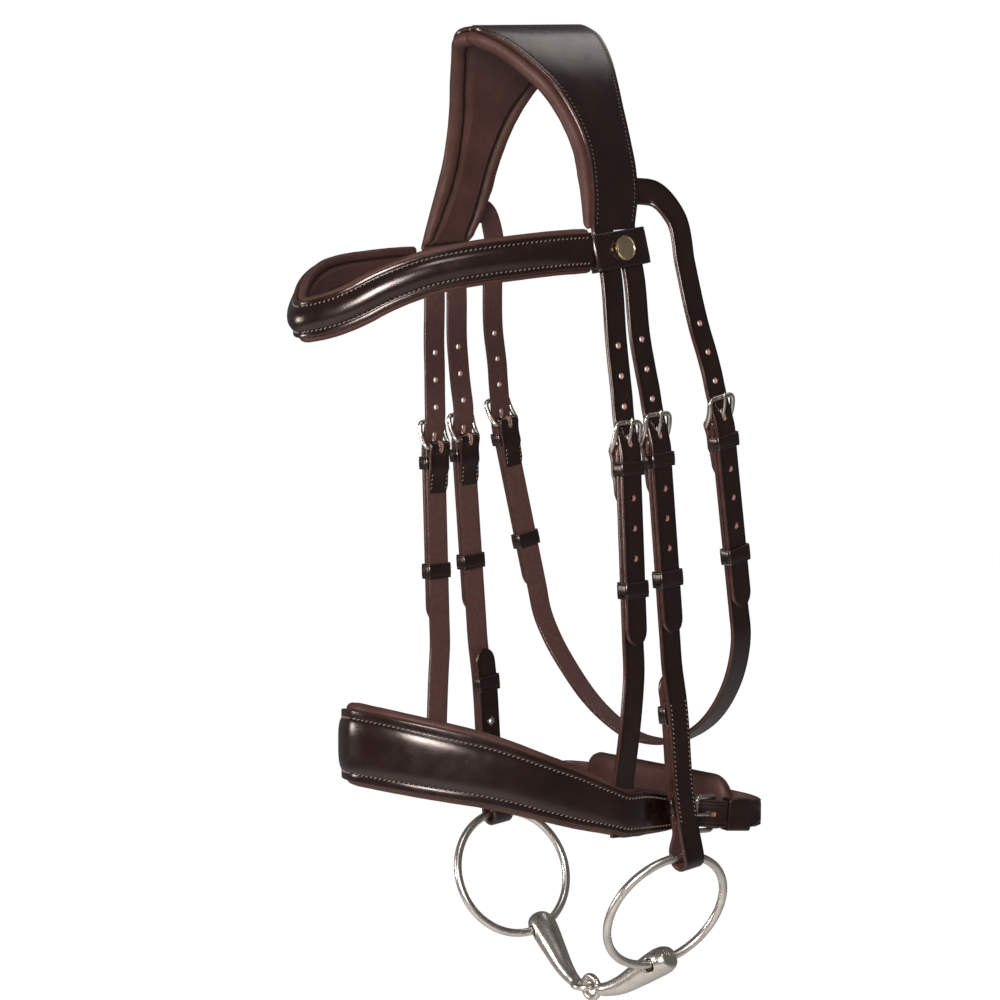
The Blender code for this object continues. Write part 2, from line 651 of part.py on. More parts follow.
# Cheekpiece: the strap turns round the bit ring and comes back up inside as a billet on a hook stud
bit_place = beside(((0.910, 0.590, -0.9984),))[0]
loop_at = B_ROUTE.where(bit_place) - HEELS["cheek"]
loop_n = LAYER_IN - CHEEK_LOOP_RADIUS
loop_s = loop_at + RING_WIRE + CHEEK_LOOP_ROOM - CHEEK_LOOP_RADIUS
BACKING_BACK = LAYER_IN - GAP - LEATHER
TAIL_FRONT = BACKING_BACK - GAP
TAIL_BACK = TAIL_FRONT - THIN_LEATHER
TEAR = HEAD_DROP * 0.046
TAIL_TIP = HEAD_DROP * 0.283
UPPER_KEEPER_PLACE = HEAD_DROP * 0.331
LOWER_KEEPER_PLACE = HEAD_DROP * 0.4445
STUD_PLACE = HEAD_DROP * 0.383
BACKING_START = UPPER_KEEPER_PLACE - STRAP_WIDTH * 0.55
BACKING_END = loop_s - TEAR
CHEEK_KEEPER_LENGTH = 0.0105

doubled = stations(TAIL_TIP, BACKING_END, STEP)
outer = [(BACKING_END, LAYER_IN), (BACKING_END, LAYER_OUT), (loop_s - CHEEK_LOOP_RADIUS, LAYER_OUT),
         (loop_s, LAYER_OUT)]
for i in range(1, 9):
    a = math.pi * (0.5 - i / 8)
    r = CHEEK_LOOP_RADIUS + LEATHER
    outer.append((loop_s + r * math.cos(a), loop_n + r * math.sin(a)))
waist = (loop_n - CHEEK_LOOP_RADIUS - LEATHER + TAIL_BACK) / 2
outer += [(loop_s - TEAR * 0.55, waist), (BACKING_END, TAIL_BACK), (BACKING_END, TAIL_FRONT),
          (loop_s - TEAR * 0.55, waist + LEATHER)]
for i in range(0, 9):
    a = math.pi * (-0.5 + i / 8)
    outer.append((loop_s + CHEEK_LOOP_RADIUS * math.cos(a), loop_n + CHEEK_LOOP_RADIUS * math.sin(a)))
bm = flat_mesh([outer], STRAP_WIDTH / 2)
grow(bm, BACKING_END, [TAIL_TIP] if len(doubled) < 2 else [s for s in reversed(doubled[:-1])] + [TAIL_TIP],
     TAIL_BACK, TAIL_FRONT)
upper = stations(TAIL_TIP, JOINT, STEP)
grow(bm, BACKING_END, list(reversed(doubled[:-1])) + [TAIL_TIP] + upper, LAYER_IN, LAYER_OUT,
     keep_end=False)
end = strap_end(FIXED_WINDOW, CHAPE_LENGTH, STRAP_WIDTH / 2)
bmesh.ops.delete(end, geom=[end_face(end, JOINT, LAYER_IN, LAYER_OUT)], context="FACES_ONLY")
end.to_mesh(mesh := bpy.data.meshes.new("end"))
end.free()
bm.from_mesh(mesh)
bmesh.ops.remove_doubles(bm, verts=bm.verts, dist=WELD * 5)
cheek = add_object("cheekpiece_near", mesh_from(bent(bm, B_ROUTE, HEELS["cheek"]), "cheekpiece"), OUTER)
boolean(cheek, as_cutter("cheek slot", tongue_slot(B_ROUTE, HEELS["cheek"])))
p, t, n, w = B_ROUTE.frame(HEELS["cheek"] + STUD_PLACE)
stud_turn = Matrix((t, w, n)).transposed().to_4x4()
bm = bmesh.new()
hole_at = Matrix.Translation(Vector(p + n * (TAIL_FRONT + TAIL_BACK) / 2)) @ stud_turn
bmesh.ops.create_cone(bm, cap_ends=True, segments=10, radius1=STUD_NECK + GAP, radius2=STUD_NECK + GAP,
                      depth=THIN_LEATHER * 2, matrix=hole_at)
boolean(cheek, as_cutter("stud hole", mesh_from(bm, "stud hole")))

# Backing strip: sewn behind the strap, notched on its outer face for the two keepers
backing_front = LAYER_IN - GAP
notch = backing_front - KEEPER_LEATHER - GAP
profile = [(BACKING_START, BACKING_BACK), (BACKING_START, backing_front)]
for place in (UPPER_KEEPER_PLACE, LOWER_KEEPER_PLACE):
    reach = CHEEK_KEEPER_LENGTH / 2 + GAP
    profile += [(place - reach, backing_front), (place - reach, notch), (place + reach, notch),
                (place + reach, backing_front)]
profile += [(BACKING_END, backing_front)]
profile.append((BACKING_END, BACKING_BACK))
bm = flat_mesh([profile], STRAP_WIDTH / 2)
for s in doubled[:-1]:
    bmesh.ops.bisect_plane(bm, geom=bm.verts[:] + bm.edges[:] + bm.faces[:], dist=WELD, plane_co=(s, 0, 0),
                           plane_no=(1, 0, 0))
backing = add_object("cheek_backing_near", mesh_from(bent(bm, B_ROUTE, HEELS["cheek"]), "backing"), SOFT)

# Hook stud: a disc under the backing, a neck through the tail and a round head on its inside
head = TAIL_BACK - GAP


def turned(name, profile, p, axis, side, material, origin=None, count=12):
    """A turned piece: a profile of (radius, height) spun about an axis."""
    bm = bmesh.new()
    points = [bm.verts.new((r, 0, h)) for r, h in profile]
    edges = [bm.edges.new(pair) for pair in zip(points, points[1:])]
    bmesh.ops.spin(bm, geom=points + edges, cent=(0, 0, 0), axis=(0, 0, 1), angle=2 * math.pi, steps=count,
                   use_merge=True)
    bmesh.ops.remove_doubles(bm, verts=bm.verts, dist=WELD)
    third = np.cross(axis, side)
    turn = Matrix((side, third, axis)).transposed().to_4x4()
    bmesh.ops.transform(bm, matrix=Matrix.Translation(Vector(p)) @ turn, verts=bm.verts)
    return add_object(name, mesh_from(bm, name, SMOOTH), material, origin)


inward = -n
stud_top = [(STUD_NECK, -head), (STUD_HEAD, -head), (STUD_HEAD, -head + STUD_HEAD * 0.35),
            (STUD_HEAD * 0.6, -head + STUD_HEAD * 0.7), (0, -head + STUD_HEAD * 0.8)]
stud = turned("hook_stud_near", [(0, -BACKING_BACK + GAP), (STUD_NECK, -BACKING_BACK + GAP)] + stud_top,
              p, inward, t, STEEL)


# Keepers
def keeper_loops(width, back, front):
    x = width / 2 + GAP
    wall = KEEPER_LEATHER
    return [rounded_box(-x - wall, x + wall, back - wall, front + wall, wall * 1.2, 2),
            rounded_box(-x, x, back, front, GAP, 1)]


def keeper(name, route, middle, length, width, back, front, origin=None):
    return ring_piece(name, keeper_loops(width, back, front), length / 2, route, middle, OUTER, origin)


pieces = [hanger, cheek, backing, stud]
for label, place in (("upper", UPPER_KEEPER_PLACE), ("lower", LOWER_KEEPER_PLACE)):
    pieces.append(keeper(f"cheek_keeper_{label}_near", B_ROUTE, HEELS["cheek"] + place, CHEEK_KEEPER_LENGTH,
                         STRAP_WIDTH,
                         TAIL_BACK - GAP, notch + GAP, None))


# Buckles: a bent wire frame, a tongue on its heel bar
def buckle(label, route, heel, width, tongue_range=None):
    p, t, n, w = route.frame(heel)
    x = width / 2 + BUCKLE_SIDE_CLEARANCE + BAR_RADIUS
    corner = BAR_RADIUS * 1.2
    ring = rounded_box(-BUCKLE_PITCH, 0, -x, x, corner, 2)
    curve = bpy.data.curves.new("frame", "CURVE")
    curve.dimensions = "3D"
    curve.bevel_depth = BAR_RADIUS
    curve.bevel_resolution = 1
    spline = curve.splines.new("POLY")
    spline.points.add(len(ring) - 1)
    for point, (s, side) in zip(spline.points, ring):
        place = s * t + side * w - s / BUCKLE_PITCH * TOE_RISE * n
        point.co = (*place, 1)
    spline.use_cyclic_u = True
    guide = bpy.data.objects.new("frame", curve)
    cutters.objects.link(guide)
    mesh = bpy.data.meshes.new_from_object(guide.evaluated_get(bpy.context.evaluated_depsgraph_get()))
    bpy.data.objects.remove(guide)
    mesh.transform(Matrix.Translation(Vector(p)))
    bm = bmesh.new()
    bm.from_mesh(mesh)
    bmesh.ops.remove_doubles(bm, verts=bm.verts, dist=WELD)
    frame = add_object(f"{label}_buckle_frame_near", mesh_from(bm, "frame", SMOOTH), STEEL, p)
    eye_out = LAYER_IN + TONGUE_THICKNESS * 0.6
    rest = TOE_RISE + BAR_RADIUS + GAP * 1.5
    slope = math.atan2(rest, BUCKLE_PITCH) + TONGUE_THICKNESS / 2 / BUCKLE_PITCH
    reach = math.hypot(BUCKLE_PITCH, rest) + BAR_RADIUS * 1.3
    half = TONGUE_THICKNESS / 2
    join = math.asin(half / eye_out)
    outline = [(eye_out * math.cos(join + (2 * math.pi - 2 * join) * i / 12),
                eye_out * math.sin(join + (2 * math.pi - 2 * join) * i / 12)) for i in range(13)]
    outline += [(reach - half, -half * 0.9), (reach, -half * 0.2), (reach - half * 0.5, half * 0.6),
                (reach - half * 1.6, half)]
    along = (-math.cos(slope), math.sin(slope))
    up = (math.sin(slope), math.cos(slope))
    bm = flat_mesh([outline, circle(0, 0, LAYER_IN, 10)], TONGUE_WIDTH / 2)
    for v in bm.verts:
        s = v.co.x * along[0] + v.co.y * up[0]
        out = v.co.x * along[1] + v.co.y * up[1]
        v.co = Vector(p + s * t + out * n + v.co.z * w)
    tongue = add_object(f"{label}_buckle_tongue_near", mesh_from(bm, "tongue", SMOOTH), STEEL, p)
    return [frame, tongue]


for label, (route, _) in SITES.items():
    heel = HEELS[label]
    pieces += buckle(label, route, heel, STRAP_WIDTH)
    pieces.append(keeper(f"{label}_fixed_keeper_near", route, heel + FIXED_KEEPER_PLACE,
                         FIXED_KEEPER_LENGTH, STRAP_WIDTH,
                         KEEPER_BACK, KEEPER_FRONT))
    at = route.frame(heel + RUNNER_PLACE)[0]
    pieces.append(keeper(f"{label}_runner_keeper_near", route, heel + RUNNER_PLACE, RUNNER_LENGTH,
                         STRAP_WIDTH,
                         KEEPER_BACK, KEEPER_FRONT, at))

# Browband: leather with a padded middle, on a rolled lining, sewn to a loop at each side
BROW_HALF_WIDTH = 0.0872
BROW_REACH = 0.1464
BROW_START = -0.0190
BROW_POWER = 1.61
BROW_DROP_SHARES = ((0, 0.2655), (0.14, 0.2695), (0.34, 0.2775), (0.49, 0.2845), (0.68, 0.2985),
                    (0.82, 0.3185), (0.91, 0.3365), (0.98, 0.3465), (1, 0.3485))


def superellipse(share, half, reach, power):
    """X and the way forward at a share of the quarter turn of a superellipse."""
    a = share * math.pi / 2
    return half * math.cos(a) ** (2 / power), reach * math.sin(a) ** (2 / power)


def band_points(half, reach, start, power, drops, count):
    points = []
    for i in range(-count, count + 1):
        x, forward = superellipse(1 - abs(i) / count, half, reach, power)
        drop = np.interp(forward / reach, [row[0] for row in drops], [row[1] for row in drops]) * HEAD_DROP
        points.append(np.array([math.copysign(x, i) if i else 0.0, start - forward, -drop]))
    return points


BROW = Route(band_points(BROW_HALF_WIDTH, BROW_REACH, BROW_START, BROW_POWER, BROW_DROP_SHARES, 14),
             across=(0, 0, 1))
BAND_SHARES = [i / 28 for i in range(29)]


def padded_section(height, rise, back, ease):
    """Points (n, w) round a band: flat back, raised face between the two rows of stitches."""
    h = height / 2
    return [(back, -h), (back, h), (-GAP, h), (0, h * 0.96), (0, h * 0.74), (rise * 0.7 * ease, h * 0.52),
            (rise * ease, h * 0.2), (rise * ease, -h * 0.2), (rise * 0.7 * ease, -h * 0.52), (0, -h * 0.74),
            (0, -h * 0.96), (-GAP, -h)]


def lining_section(height, front, back, face):
    """Points (n, w) round a band's lining: flat front, rolls that show past the leather's edges."""
    h = height / 2
    leather = face / 2 + GAP
    roll = max(h - leather, GAP * 2)
    return [(front, -leather), (front, leather), (front + roll * 0.7, leather + roll * 0.25),
            (front + roll * 0.4, h),
            (front - roll * 0.5, h), ((front + back) / 2, h * 0.97), (back, h * 0.72), (back - GAP, 0),
            (back, -h * 0.72), ((front + back) / 2, -h * 0.97), (front - roll * 0.5, -h), (front + roll
                                                                                           * 0.4, -h),
            (front + roll * 0.7, -leather - roll * 0.25)]


def ease_in(share, start, full):
    return float(np.clip((min(share, 1 - share) - start) / (full - start), 0, 1))


sleeve("browband_leather", BAND_SHARES, lambda share: padded_section(BROW_HEIGHT, BROW_PAD, -LEATHER,
                                                                     ease_in(share, 0.02, 0.1)),
       lambda share, n, w: BROW.place(share * BROW.length, n, w), OUTER, smooth=SMOOTH)
sleeve("browband_lining", BAND_SHARES, lambda share: lining_section(BROW_LINING_HEIGHT, -LEATHER - GAP,
                                                                    -LEATHER - GAP
       - BROW_LINING * (0.45 + 0.55 * ease_in(share, 0, 0.08)), BROW_HEIGHT),
       lambda share, n, w: BROW.place(share * BROW.length, n, w), SOFT, smooth=SMOOTH)

# Browband loops: a band of leather round the noseband and cheek billets, and the button on it
LOOP_DROP = HEAD_DROP * 0.262
a_at = A_ROUTE.s[np.argmin(np.abs(A_ROUTE.p[:, 2] + LOOP_DROP))]
b_at = B_ROUTE.s[np.argmin(np.abs(B_ROUTE.p[:, 2] + LOOP_DROP))]
a_p, a_t = A_ROUTE.frame(a_at)[:2]
b_p, b_t = B_ROUTE.frame(b_at)[:2]
LOOP = Route([(a_p + b_p) / 2 - unit(a_t + b_t) * STRAP_WIDTH, (a_p + b_p) / 2, (a_p + b_p) / 2
              + unit(a_t + b_t) * STRAP_WIDTH],
             facing=sideways)
loop_half = np.linalg.norm(b_p - a_p) / 2 + STRAP_WIDTH / 2 + LOOP_END_ROOM
loops = [rounded_box(-loop_half - LOOP_LEATHER, loop_half + LOOP_LEATHER, -LOOP_CLEARANCE - LOOP_LEATHER,
                     LEATHER + LOOP_CLEARANCE + LOOP_LEATHER, LEATHER * 1.3, 3),
         rounded_box(-loop_half, loop_half, -LOOP_CLEARANCE, LEATHER + LOOP_CLEARANCE, LEATHER * 0.6, 3)]
loop_middle = LOOP.length / 2
pieces.append(ring_piece("browband_loop_near", loops, LOOP_HEIGHT / 2, LOOP, loop_middle, OUTER,
                         smooth=SMOOTH))
p, t, n, w = LOOP.frame(loop_middle)
face = LEATHER + LOOP_CLEARANCE + LOOP_LEATHER + GAP
button = [(0, face), (BUTTON_RADIUS * 0.93, face), (BUTTON_RADIUS, face + BUTTON_HEIGHT * 0.25),
          (BUTTON_RADIUS, face + BUTTON_HEIGHT * 0.6), (BUTTON_RADIUS * 0.9, face + BUTTON_HEIGHT * 0.85),
          (BUTTON_RADIUS * 0.5, face + BUTTON_HEIGHT), (0, face + BUTTON_HEIGHT)]
pieces.append(turned("browband_button_near", button, p, n, w, GOLD, count=20))

# Jaw strap: a buckle end at each side, joined round the back of the jaw
JAW_HEEL_SHARE = (0.835, 0.872, -0.9546)
JAW_FLARE_SHARE = (0.200, 0.974, -0.020)
JAW_BEND_SHARES = ((0.890, 1.183, -0.960), (0.800, 1.213, -0.959), (0.670, 1.213, -0.958),
                   (0.450, 1.195, -0.957), (0.220, 1.180, -0.956))
JAW_MIDDLE_SHARE = (0, 1.176, -0.956)
JAW_SETBACK = 0.0352  # from the cheek's strap to the jaw's buckles
SETBACK_SHARE = 0.352


def behind(shares):
    """Places of the jaw's strap: its buckles stay clear of the cheek's strap at any depth."""
    return beside(shares, SPREAD_SHARE + SETBACK_SHARE, BUCKLE_SPREAD + JAW_SETBACK)


jaw_heel = behind((JAW_HEEL_SHARE,))[0]
jaw_along = unit(rescaled((JAW_FLARE_SHARE,))[0])
JAW_STRAIGHT = JAW_BILLET_LENGTH * 0.85
jaw_half = [jaw_heel - jaw_along * BUCKLE_PITCH * 2, jaw_heel - jaw_along * BUCKLE_PITCH, jaw_heel,
            jaw_heel + jaw_along * JAW_STRAIGHT * 0.8, jaw_heel + jaw_along * JAW_STRAIGHT]
jaw_half += behind(JAW_BEND_SHARES)
# the route runs from the near side round the back, so that its outside faces away from the head
jaw_other = [q * flip_x for q in reversed(jaw_half)]
JAW = Route(jaw_half + behind((JAW_MIDDLE_SHARE,)) + jaw_other, across=(0, 0, 1))
JAW_HEEL = JAW.where(jaw_heel)
jaw_middle = JAW.length / 2 - JAW_HEEL
JAW_WINDOW = FIXED_KEEPER_PLACE - FIXED_KEEPER_LENGTH / 2 + JAW_KEEPER_LENGTH + KEEPER_WINDOW_CLEARANCE
JAW_CHAPE = JAW_WINDOW + THIN_LEATHER * 2
bm = strap_end(JAW_WINDOW, JAW_CHAPE, JAW_STRAP_WIDTH / 2)
jaw_stations = stations(JAW_CHAPE + THIN_LEATHER, jaw_middle, STEP * 0.3)
grow(bm, JAW_CHAPE + THIN_LEATHER, jaw_stations, LAYER_IN, LAYER_OUT, keep_end=False)
jaw_strap = add_object("jaw_strap", mesh_from(two_sided(bent(bm, JAW, JAW_HEEL)), "jaw_strap"), OUTER)
boolean(jaw_strap, as_cutter("jaw slots", both_sides(tongue_slot(JAW, JAW_HEEL))))
pieces += buckle("jaw", JAW, JAW_HEEL, JAW_STRAP_WIDTH)
pieces.append(keeper("jaw_keeper_near", JAW, JAW_HEEL + JAW_WINDOW - KEEPER_WINDOW_CLEARANCE
                     - JAW_KEEPER_LENGTH / 2,
                     JAW_KEEPER_LENGTH, JAW_STRAP_WIDTH, KEEPER_BACK, KEEPER_FRONT))

# Jaw pad: a soft pad between the strap and the jaw
PAD_END_SHARE = 0.70
pad_start = JAW.s[np.argmin(np.abs(JAW.p[:JAW.p.shape[0] // 2, 0] - PAD_END_SHARE
                                   * HEAD_HALF_WIDTH))] - JAW_HEEL
pad_places = [s - jaw_middle for s in jaw_stations if s > pad_start]
PAD_END_SHARES = ((0, 0.42), (0.012, 0.62), (0.05, 0.84), (0.12, 0.97), (0.2, 1))


def pad_section(place):
    """Points (n, w) round the pad: round edges and a soft crown towards the jaw."""
    full = float(np.interp(1 - abs(place / pad_places[0]), *zip(*PAD_END_SHARES)))
    h = JAW_PAD_HEIGHT / 2 * full
    thick = JAW_PAD * (0.55 + 0.45 * full)
    front = LAYER_IN - GAP
    return [(front, -h * 0.8), (front, h * 0.8), (front - thick * 0.2, h), (front - thick * 0.65, h * 0.97),
            (front - thick * 0.93, h * 0.7), (front - thick, h * 0.3), (front - thick, -h * 0.3),
            (front - thick * 0.93, -h * 0.7), (front - thick * 0.65, -h * 0.97), (front - thick * 0.2, -h)]


pad_places += [-place for place in reversed(pad_places[:-1])]
sleeve("jaw_pad", pad_places, pad_section, lambda place, n, w: JAW.place(JAW.length / 2 + place, n, w),
       SOFT, smooth=SMOOTH)

# Noseband: padded leather that narrows at the sides and ends in a billet for each jaw buckle
NOSE_HALF_WIDTH = 0.0955
NOSE_REACH = 0.1335
NOSE_START = 0.003
NOSE_POWER = 1.57
NOSE_DROP_SHARES = ((0, 0.931), (0.2, 0.912), (0.4, 0.8925), (0.6, 0.873), (0.8, 0.8590), (1, 0.8456))
NOSE_SIDE_SHARES = ((0.944, 0.14, -0.933), (0.866, 0.32, -0.939), (0.832, 0.46, -0.944),
                    (0.829, 0.58, -0.948))
NOSE_TAPER_SHARES = ((0, 0.97), (0.2, 0.945), (0.42, 0.885), (0.6, 0.812), (0.72, 0.757), (0.80, 0.716),
                     (0.90, 0.630), (1.0, 0.568), (1.12, 0.568), (1.26, 0.50), (1.36, 0.386),
                     (1.7, 0.386))
NOSE_PAD_SHARES = ((0, 1), (0.45, 1), (0.8, 0.45), (1.0, 0.3), (1.25, 0))

band = band_points(NOSE_HALF_WIDTH, NOSE_REACH, NOSE_START, NOSE_POWER, NOSE_DROP_SHARES, 12)
run_out = [JAW.place(JAW_HEEL + at, out, 0) for at, out in (
    (-BUCKLE_PITCH * 1.15, TOE_BILLET_OUT - GAP), (-BUCKLE_PITCH * 0.85, TOE_BILLET_OUT
                                                   - GAP), (-BUCKLE_PITCH * 0.15,
     BILLET_OUT - GAP), (BUCKLE_PITCH * 0.15, BILLET_OUT), (JAW_BILLET_LENGTH, BILLET_OUT))]
side = rescaled(NOSE_SIDE_SHARES) + run_out
NOSE = Route([q * flip_x for q in reversed(side)] + band + side, across=(0, 0, 1))
NOSE.w[:] = (0, 0, 1)
nose_middle = NOSE.length / 2
side_arc = NOSE.where(band[-1]) - nose_middle


def nose_width(arc):
    """The leather's height at an arc length from the front's middle, with a pointed tip."""
    height = NOSE_HEIGHT * np.interp(abs(arc) / side_arc, *zip(*NOSE_TAPER_SHARES))
    if abs(arc) > straight[0] * 0.97:
        height = JAW_STRAP_WIDTH
    left = (nose_middle - abs(arc)) / TIP_LENGTH
    return height * float(np.interp(1 - left, *zip(*TIP_SHARES))) if left < 1 else height


def nose_section(arc):
    fill = float(np.interp(abs(arc) / side_arc, *zip(*NOSE_PAD_SHARES)))
    return padded_section(nose_width(arc), NOSE_PAD, -LEATHER, fill)


straight = [NOSE.where(q) - nose_middle for q in run_out[:4]]
ends = [nose_middle - TIP_LENGTH * (1 - share) for share, _ in TIP_SHARES]
places = [side_arc * i / 18 for i in range(19)] + [side_arc + (straight[0] - side_arc) * i / 5
                                                   for i in range(1, 5)]
places += straight + [(straight[-1] + ends[0]) / 2] + ends
nose_places = [-arc for arc in reversed(places[1:])] + places
nose = sleeve("noseband_leather", nose_places, nose_section, lambda arc, n, w: NOSE.place(nose_middle + arc,
                                                                                          n, w), OUTER,
              smooth=SMOOTH)
slot = block_mesh(JAW, JAW_HEEL + IN_USE, (-SLOT_HALF, SLOT_HALF), (-OVERRUN, BILLET_OUT + OVERRUN),
                  (-SLOT_WIDTH / 2,
                  SLOT_WIDTH / 2))
boolean(nose, as_cutter("jaw billet slots", both_sides(mesh_from(slot, "slot"))))

# Noseband lining: soft leather rolled past both edges, recessed where each hanger is sewn in
lining_places = [arc for arc in nose_places if abs(arc) < straight[0]]


def nose_lining_section(arc):
    full = np.interp(abs(arc) / side_arc, (0, 0.6, 1, 1.2), (1, 0.9, 0.8, 0.55))
    height = nose_width(arc)
    roll = NOSE_ROLL * np.interp(abs(arc) / side_arc, (0, 1, 1.3), (1, 0.8, 0.3))
    front = -LEATHER - GAP
    return lining_section(height + 2 * roll, front, front - NOSE_LINING * full, height)


nose_lining = sleeve("noseband_lining", lining_places, nose_lining_section,
                     lambda arc, n, w: NOSE.place(nose_middle + arc, n, w), SOFT, smooth=SMOOTH)
recess_from = A_ROUTE.length - HEELS["noseband"] - HEAD_DROP * 0.12
half = STRAP_WIDTH / 2 + GAP
recess = block_mesh(A_ROUTE, HEELS["noseband"], (recess_from, A_ROUTE.length - HEELS["noseband"] + GAP),
                    (LAYER_IN - GAP, LAYER_OUT + GAP), (-half, half), 4)
boolean(nose_lining, as_cutter("recesses", both_sides(mesh_from(recess, "recess"))))

# Bit: two loose rings that hang in the cheekpieces' loops, and two cannons with linked eyes
bit_rest = B_ROUTE.place(HEELS["cheek"] + loop_at, loop_n, 0)
BUTT_SHARE = np.array([-0.8072, 0.2819, -1.7831])  # of the ring's radius, from the cheek's loop
JOINT_SHARE = np.array([0, 0.0145, -2.4217])
butt_place = bit_rest + BUTT_SHARE * RING_RADIUS
bit_middle = bit_rest * np.array([0, 1, 1]) + JOINT_SHARE * RING_RADIUS


def ring_frame(yaw):
    """The centre and normal of a ring that passes through its cheek loop and its cannon's hole."""
    chord = unit(butt_place - bit_rest)
    normal = np.array([-math.cos(yaw), math.sin(yaw), 0])
    normal[2] = -(chord[0] * normal[0] + chord[1] * normal[1]) / chord[2]
    normal = unit(normal)
    half = np.linalg.norm(butt_place - bit_rest) / 2
    rise = math.sqrt(max(RING_RADIUS**2 - half**2, 0))
    centre = (bit_rest + butt_place) / 2 + rise * np.cross(normal, chord)
    return centre, normal


def bit_ring(name, yaw):
    centre, normal = ring_frame(yaw)
    turn = Vector(normal).to_track_quat("Z", "Y").to_matrix().to_4x4()
    bpy.ops.mesh.primitive_torus_add(major_radius=RING_RADIUS, minor_radius=RING_WIRE, major_segments=40,
                                     minor_segments=8)
    made = bpy.context.object
    mesh = made.data
    bpy.data.objects.remove(made)
    mesh.transform(Matrix.Translation(Vector(centre)) @ turn)
    mesh.shade_smooth()
    return add_object(name, mesh, STEEL, bit_rest)


def cannon(name, yaw, eye_axis):
    """One half of the mouthpiece: a butt pierced for the ring, a tapered bar and an eye."""
    centre, normal = ring_frame(yaw)
    wire = unit(np.cross(normal, butt_place - centre))
    wire = wire * (1 if wire[1] > 0 else -1)
    eye = bit_middle + np.array([EYE_OFFSET, 0, 0])
    root = eye + np.array([EYE_RADIUS, 0, 0])
    out = unit(butt_place - root)
    heading = unit(out * np.array([1, 1, 0.35]))
    sag = np.array([0, 0, -CANNON_END])
    bar = Route([root - heading * EYE_WIRE * 0.6, root + heading * EYE_RADIUS * 0.8,
                 (root * 2 + butt_place) / 3 + sag * 0.9, (root + butt_place * 2) / 3 + sag * 0.5,
                 butt_place, butt_place + out * CANNON_BUTT * 1.05], across=(0, 1, 0))
    butt = bar.where(butt_place) / bar.length
    rows = ((0, 0.30), (0.04, 0.42), (0.14, 0.53), (0.3, 0.68), (0.5, 0.84), (0.66, 0.94),
            (butt * 0.9, 0.99), (butt, 1), (butt + (1 - butt) * 0.5, 0.90),
            (butt + (1 - butt) * 0.85, 0.62), (1, 0.3))

    def section(row):
        share, full = row
        long = CANNON_BUTT * full + (CANNON_BUTT_LONG - CANNON_BUTT) * float(np.interp(share, (0.55, butt),
                                                                                       (0, 1))) * full
        return [(CANNON_BUTT * full * math.cos(a), long * math.sin(a)) for a in np.arange(12) * math.pi / 6]

    bar_bm = sleeve(name, rows, section, lambda row, n, w: bar.place(row[0] * bar.length, n, w), STEEL,
                    finish=False)
    piece = add_object(name, mesh_from(bar_bm, name, SMOOTH), STEEL, butt_place)
    bpy.ops.mesh.primitive_torus_add(major_radius=EYE_RADIUS, minor_radius=EYE_WIRE, major_segments=20,
                                     minor_segments=8)
    made = bpy.context.object
    mesh = made.data
    bpy.data.objects.remove(made)
    eye_turn = Vector(eye_axis).to_track_quat("Z", "Y").to_matrix().to_4x4()
    mesh.transform(Matrix.Translation(Vector(eye)) @ eye_turn)
    boolean(piece, as_cutter(name + " eye", mesh), "UNION")
    hole = bmesh.new()
    radius = RING_WIRE + RING_HOLE_CLEARANCE
    bmesh.ops.create_cone(hole, cap_ends=True, segments=16, radius1=radius, radius2=radius,
                          depth=CANNON_BUTT * 4,
                          matrix=Matrix.Translation(Vector(butt_place))
                          @ Vector(wire).to_track_quat("Z", "Y").to_matrix().to_4x4())
    boolean(piece, as_cutter(name + " hole", mesh_from(hole, "hole")))
    return piece


pieces_near = pieces
bit_ring("bit_ring_near", NEAR_RING_YAW)
cannon("bit_cannon_near", NEAR_RING_YAW, (0, 1, 0))
mirrored(bit_ring("bit_ring_off_guide", OFF_RING_YAW), "bit_ring_off")
mirrored(cannon("bit_cannon_off_guide", OFF_RING_YAW, (0, 0, 1)), "bit_cannon_off")
for name in ("bit_ring_off_guide", "bit_cannon_off_guide"):
    bpy.data.objects.remove(bpy.data.objects[name])

# The off side: every near piece but the bit has its mirror image there
for piece in pieces_near:
    mirrored(piece, piece.name.replace("_near", "_off"))
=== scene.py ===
"""Looks of a padded horse bridle with a loose ring snaffle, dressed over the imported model.

+X is the horse's near side, -Y the horse's front and +Z up, in metres. Near side pieces are worked out
and the off side's are their mirror images. A strap's place s runs along it, n points outwards and w
lies across it.
"""

import math

import bpy
import numpy as np
from mathutils import Matrix, Vector


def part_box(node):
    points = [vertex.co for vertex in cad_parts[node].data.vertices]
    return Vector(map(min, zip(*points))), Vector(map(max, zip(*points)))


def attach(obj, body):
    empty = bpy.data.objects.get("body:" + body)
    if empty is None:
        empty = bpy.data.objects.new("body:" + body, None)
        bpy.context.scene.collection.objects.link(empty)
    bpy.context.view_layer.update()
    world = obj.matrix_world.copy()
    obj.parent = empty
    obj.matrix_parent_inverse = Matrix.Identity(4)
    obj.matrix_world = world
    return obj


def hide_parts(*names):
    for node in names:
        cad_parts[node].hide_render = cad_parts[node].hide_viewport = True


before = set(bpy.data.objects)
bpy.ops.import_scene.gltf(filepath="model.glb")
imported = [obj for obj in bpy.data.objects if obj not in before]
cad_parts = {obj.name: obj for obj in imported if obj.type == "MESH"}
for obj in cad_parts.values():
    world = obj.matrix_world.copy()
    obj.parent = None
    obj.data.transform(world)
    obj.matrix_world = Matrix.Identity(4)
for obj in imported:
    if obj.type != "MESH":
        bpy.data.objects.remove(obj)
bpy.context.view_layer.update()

# Camera, floor and light: the bridle hangs before a white sweep, seen from its near side and front,
# with a soft key light behind the camera, one at the left and dim ones behind and above.
stage_scene = bpy.context.scene
stage_scene.view_settings.view_transform = "Standard"
lens = bpy.data.cameras.new("camera")
lens.lens = 72.48
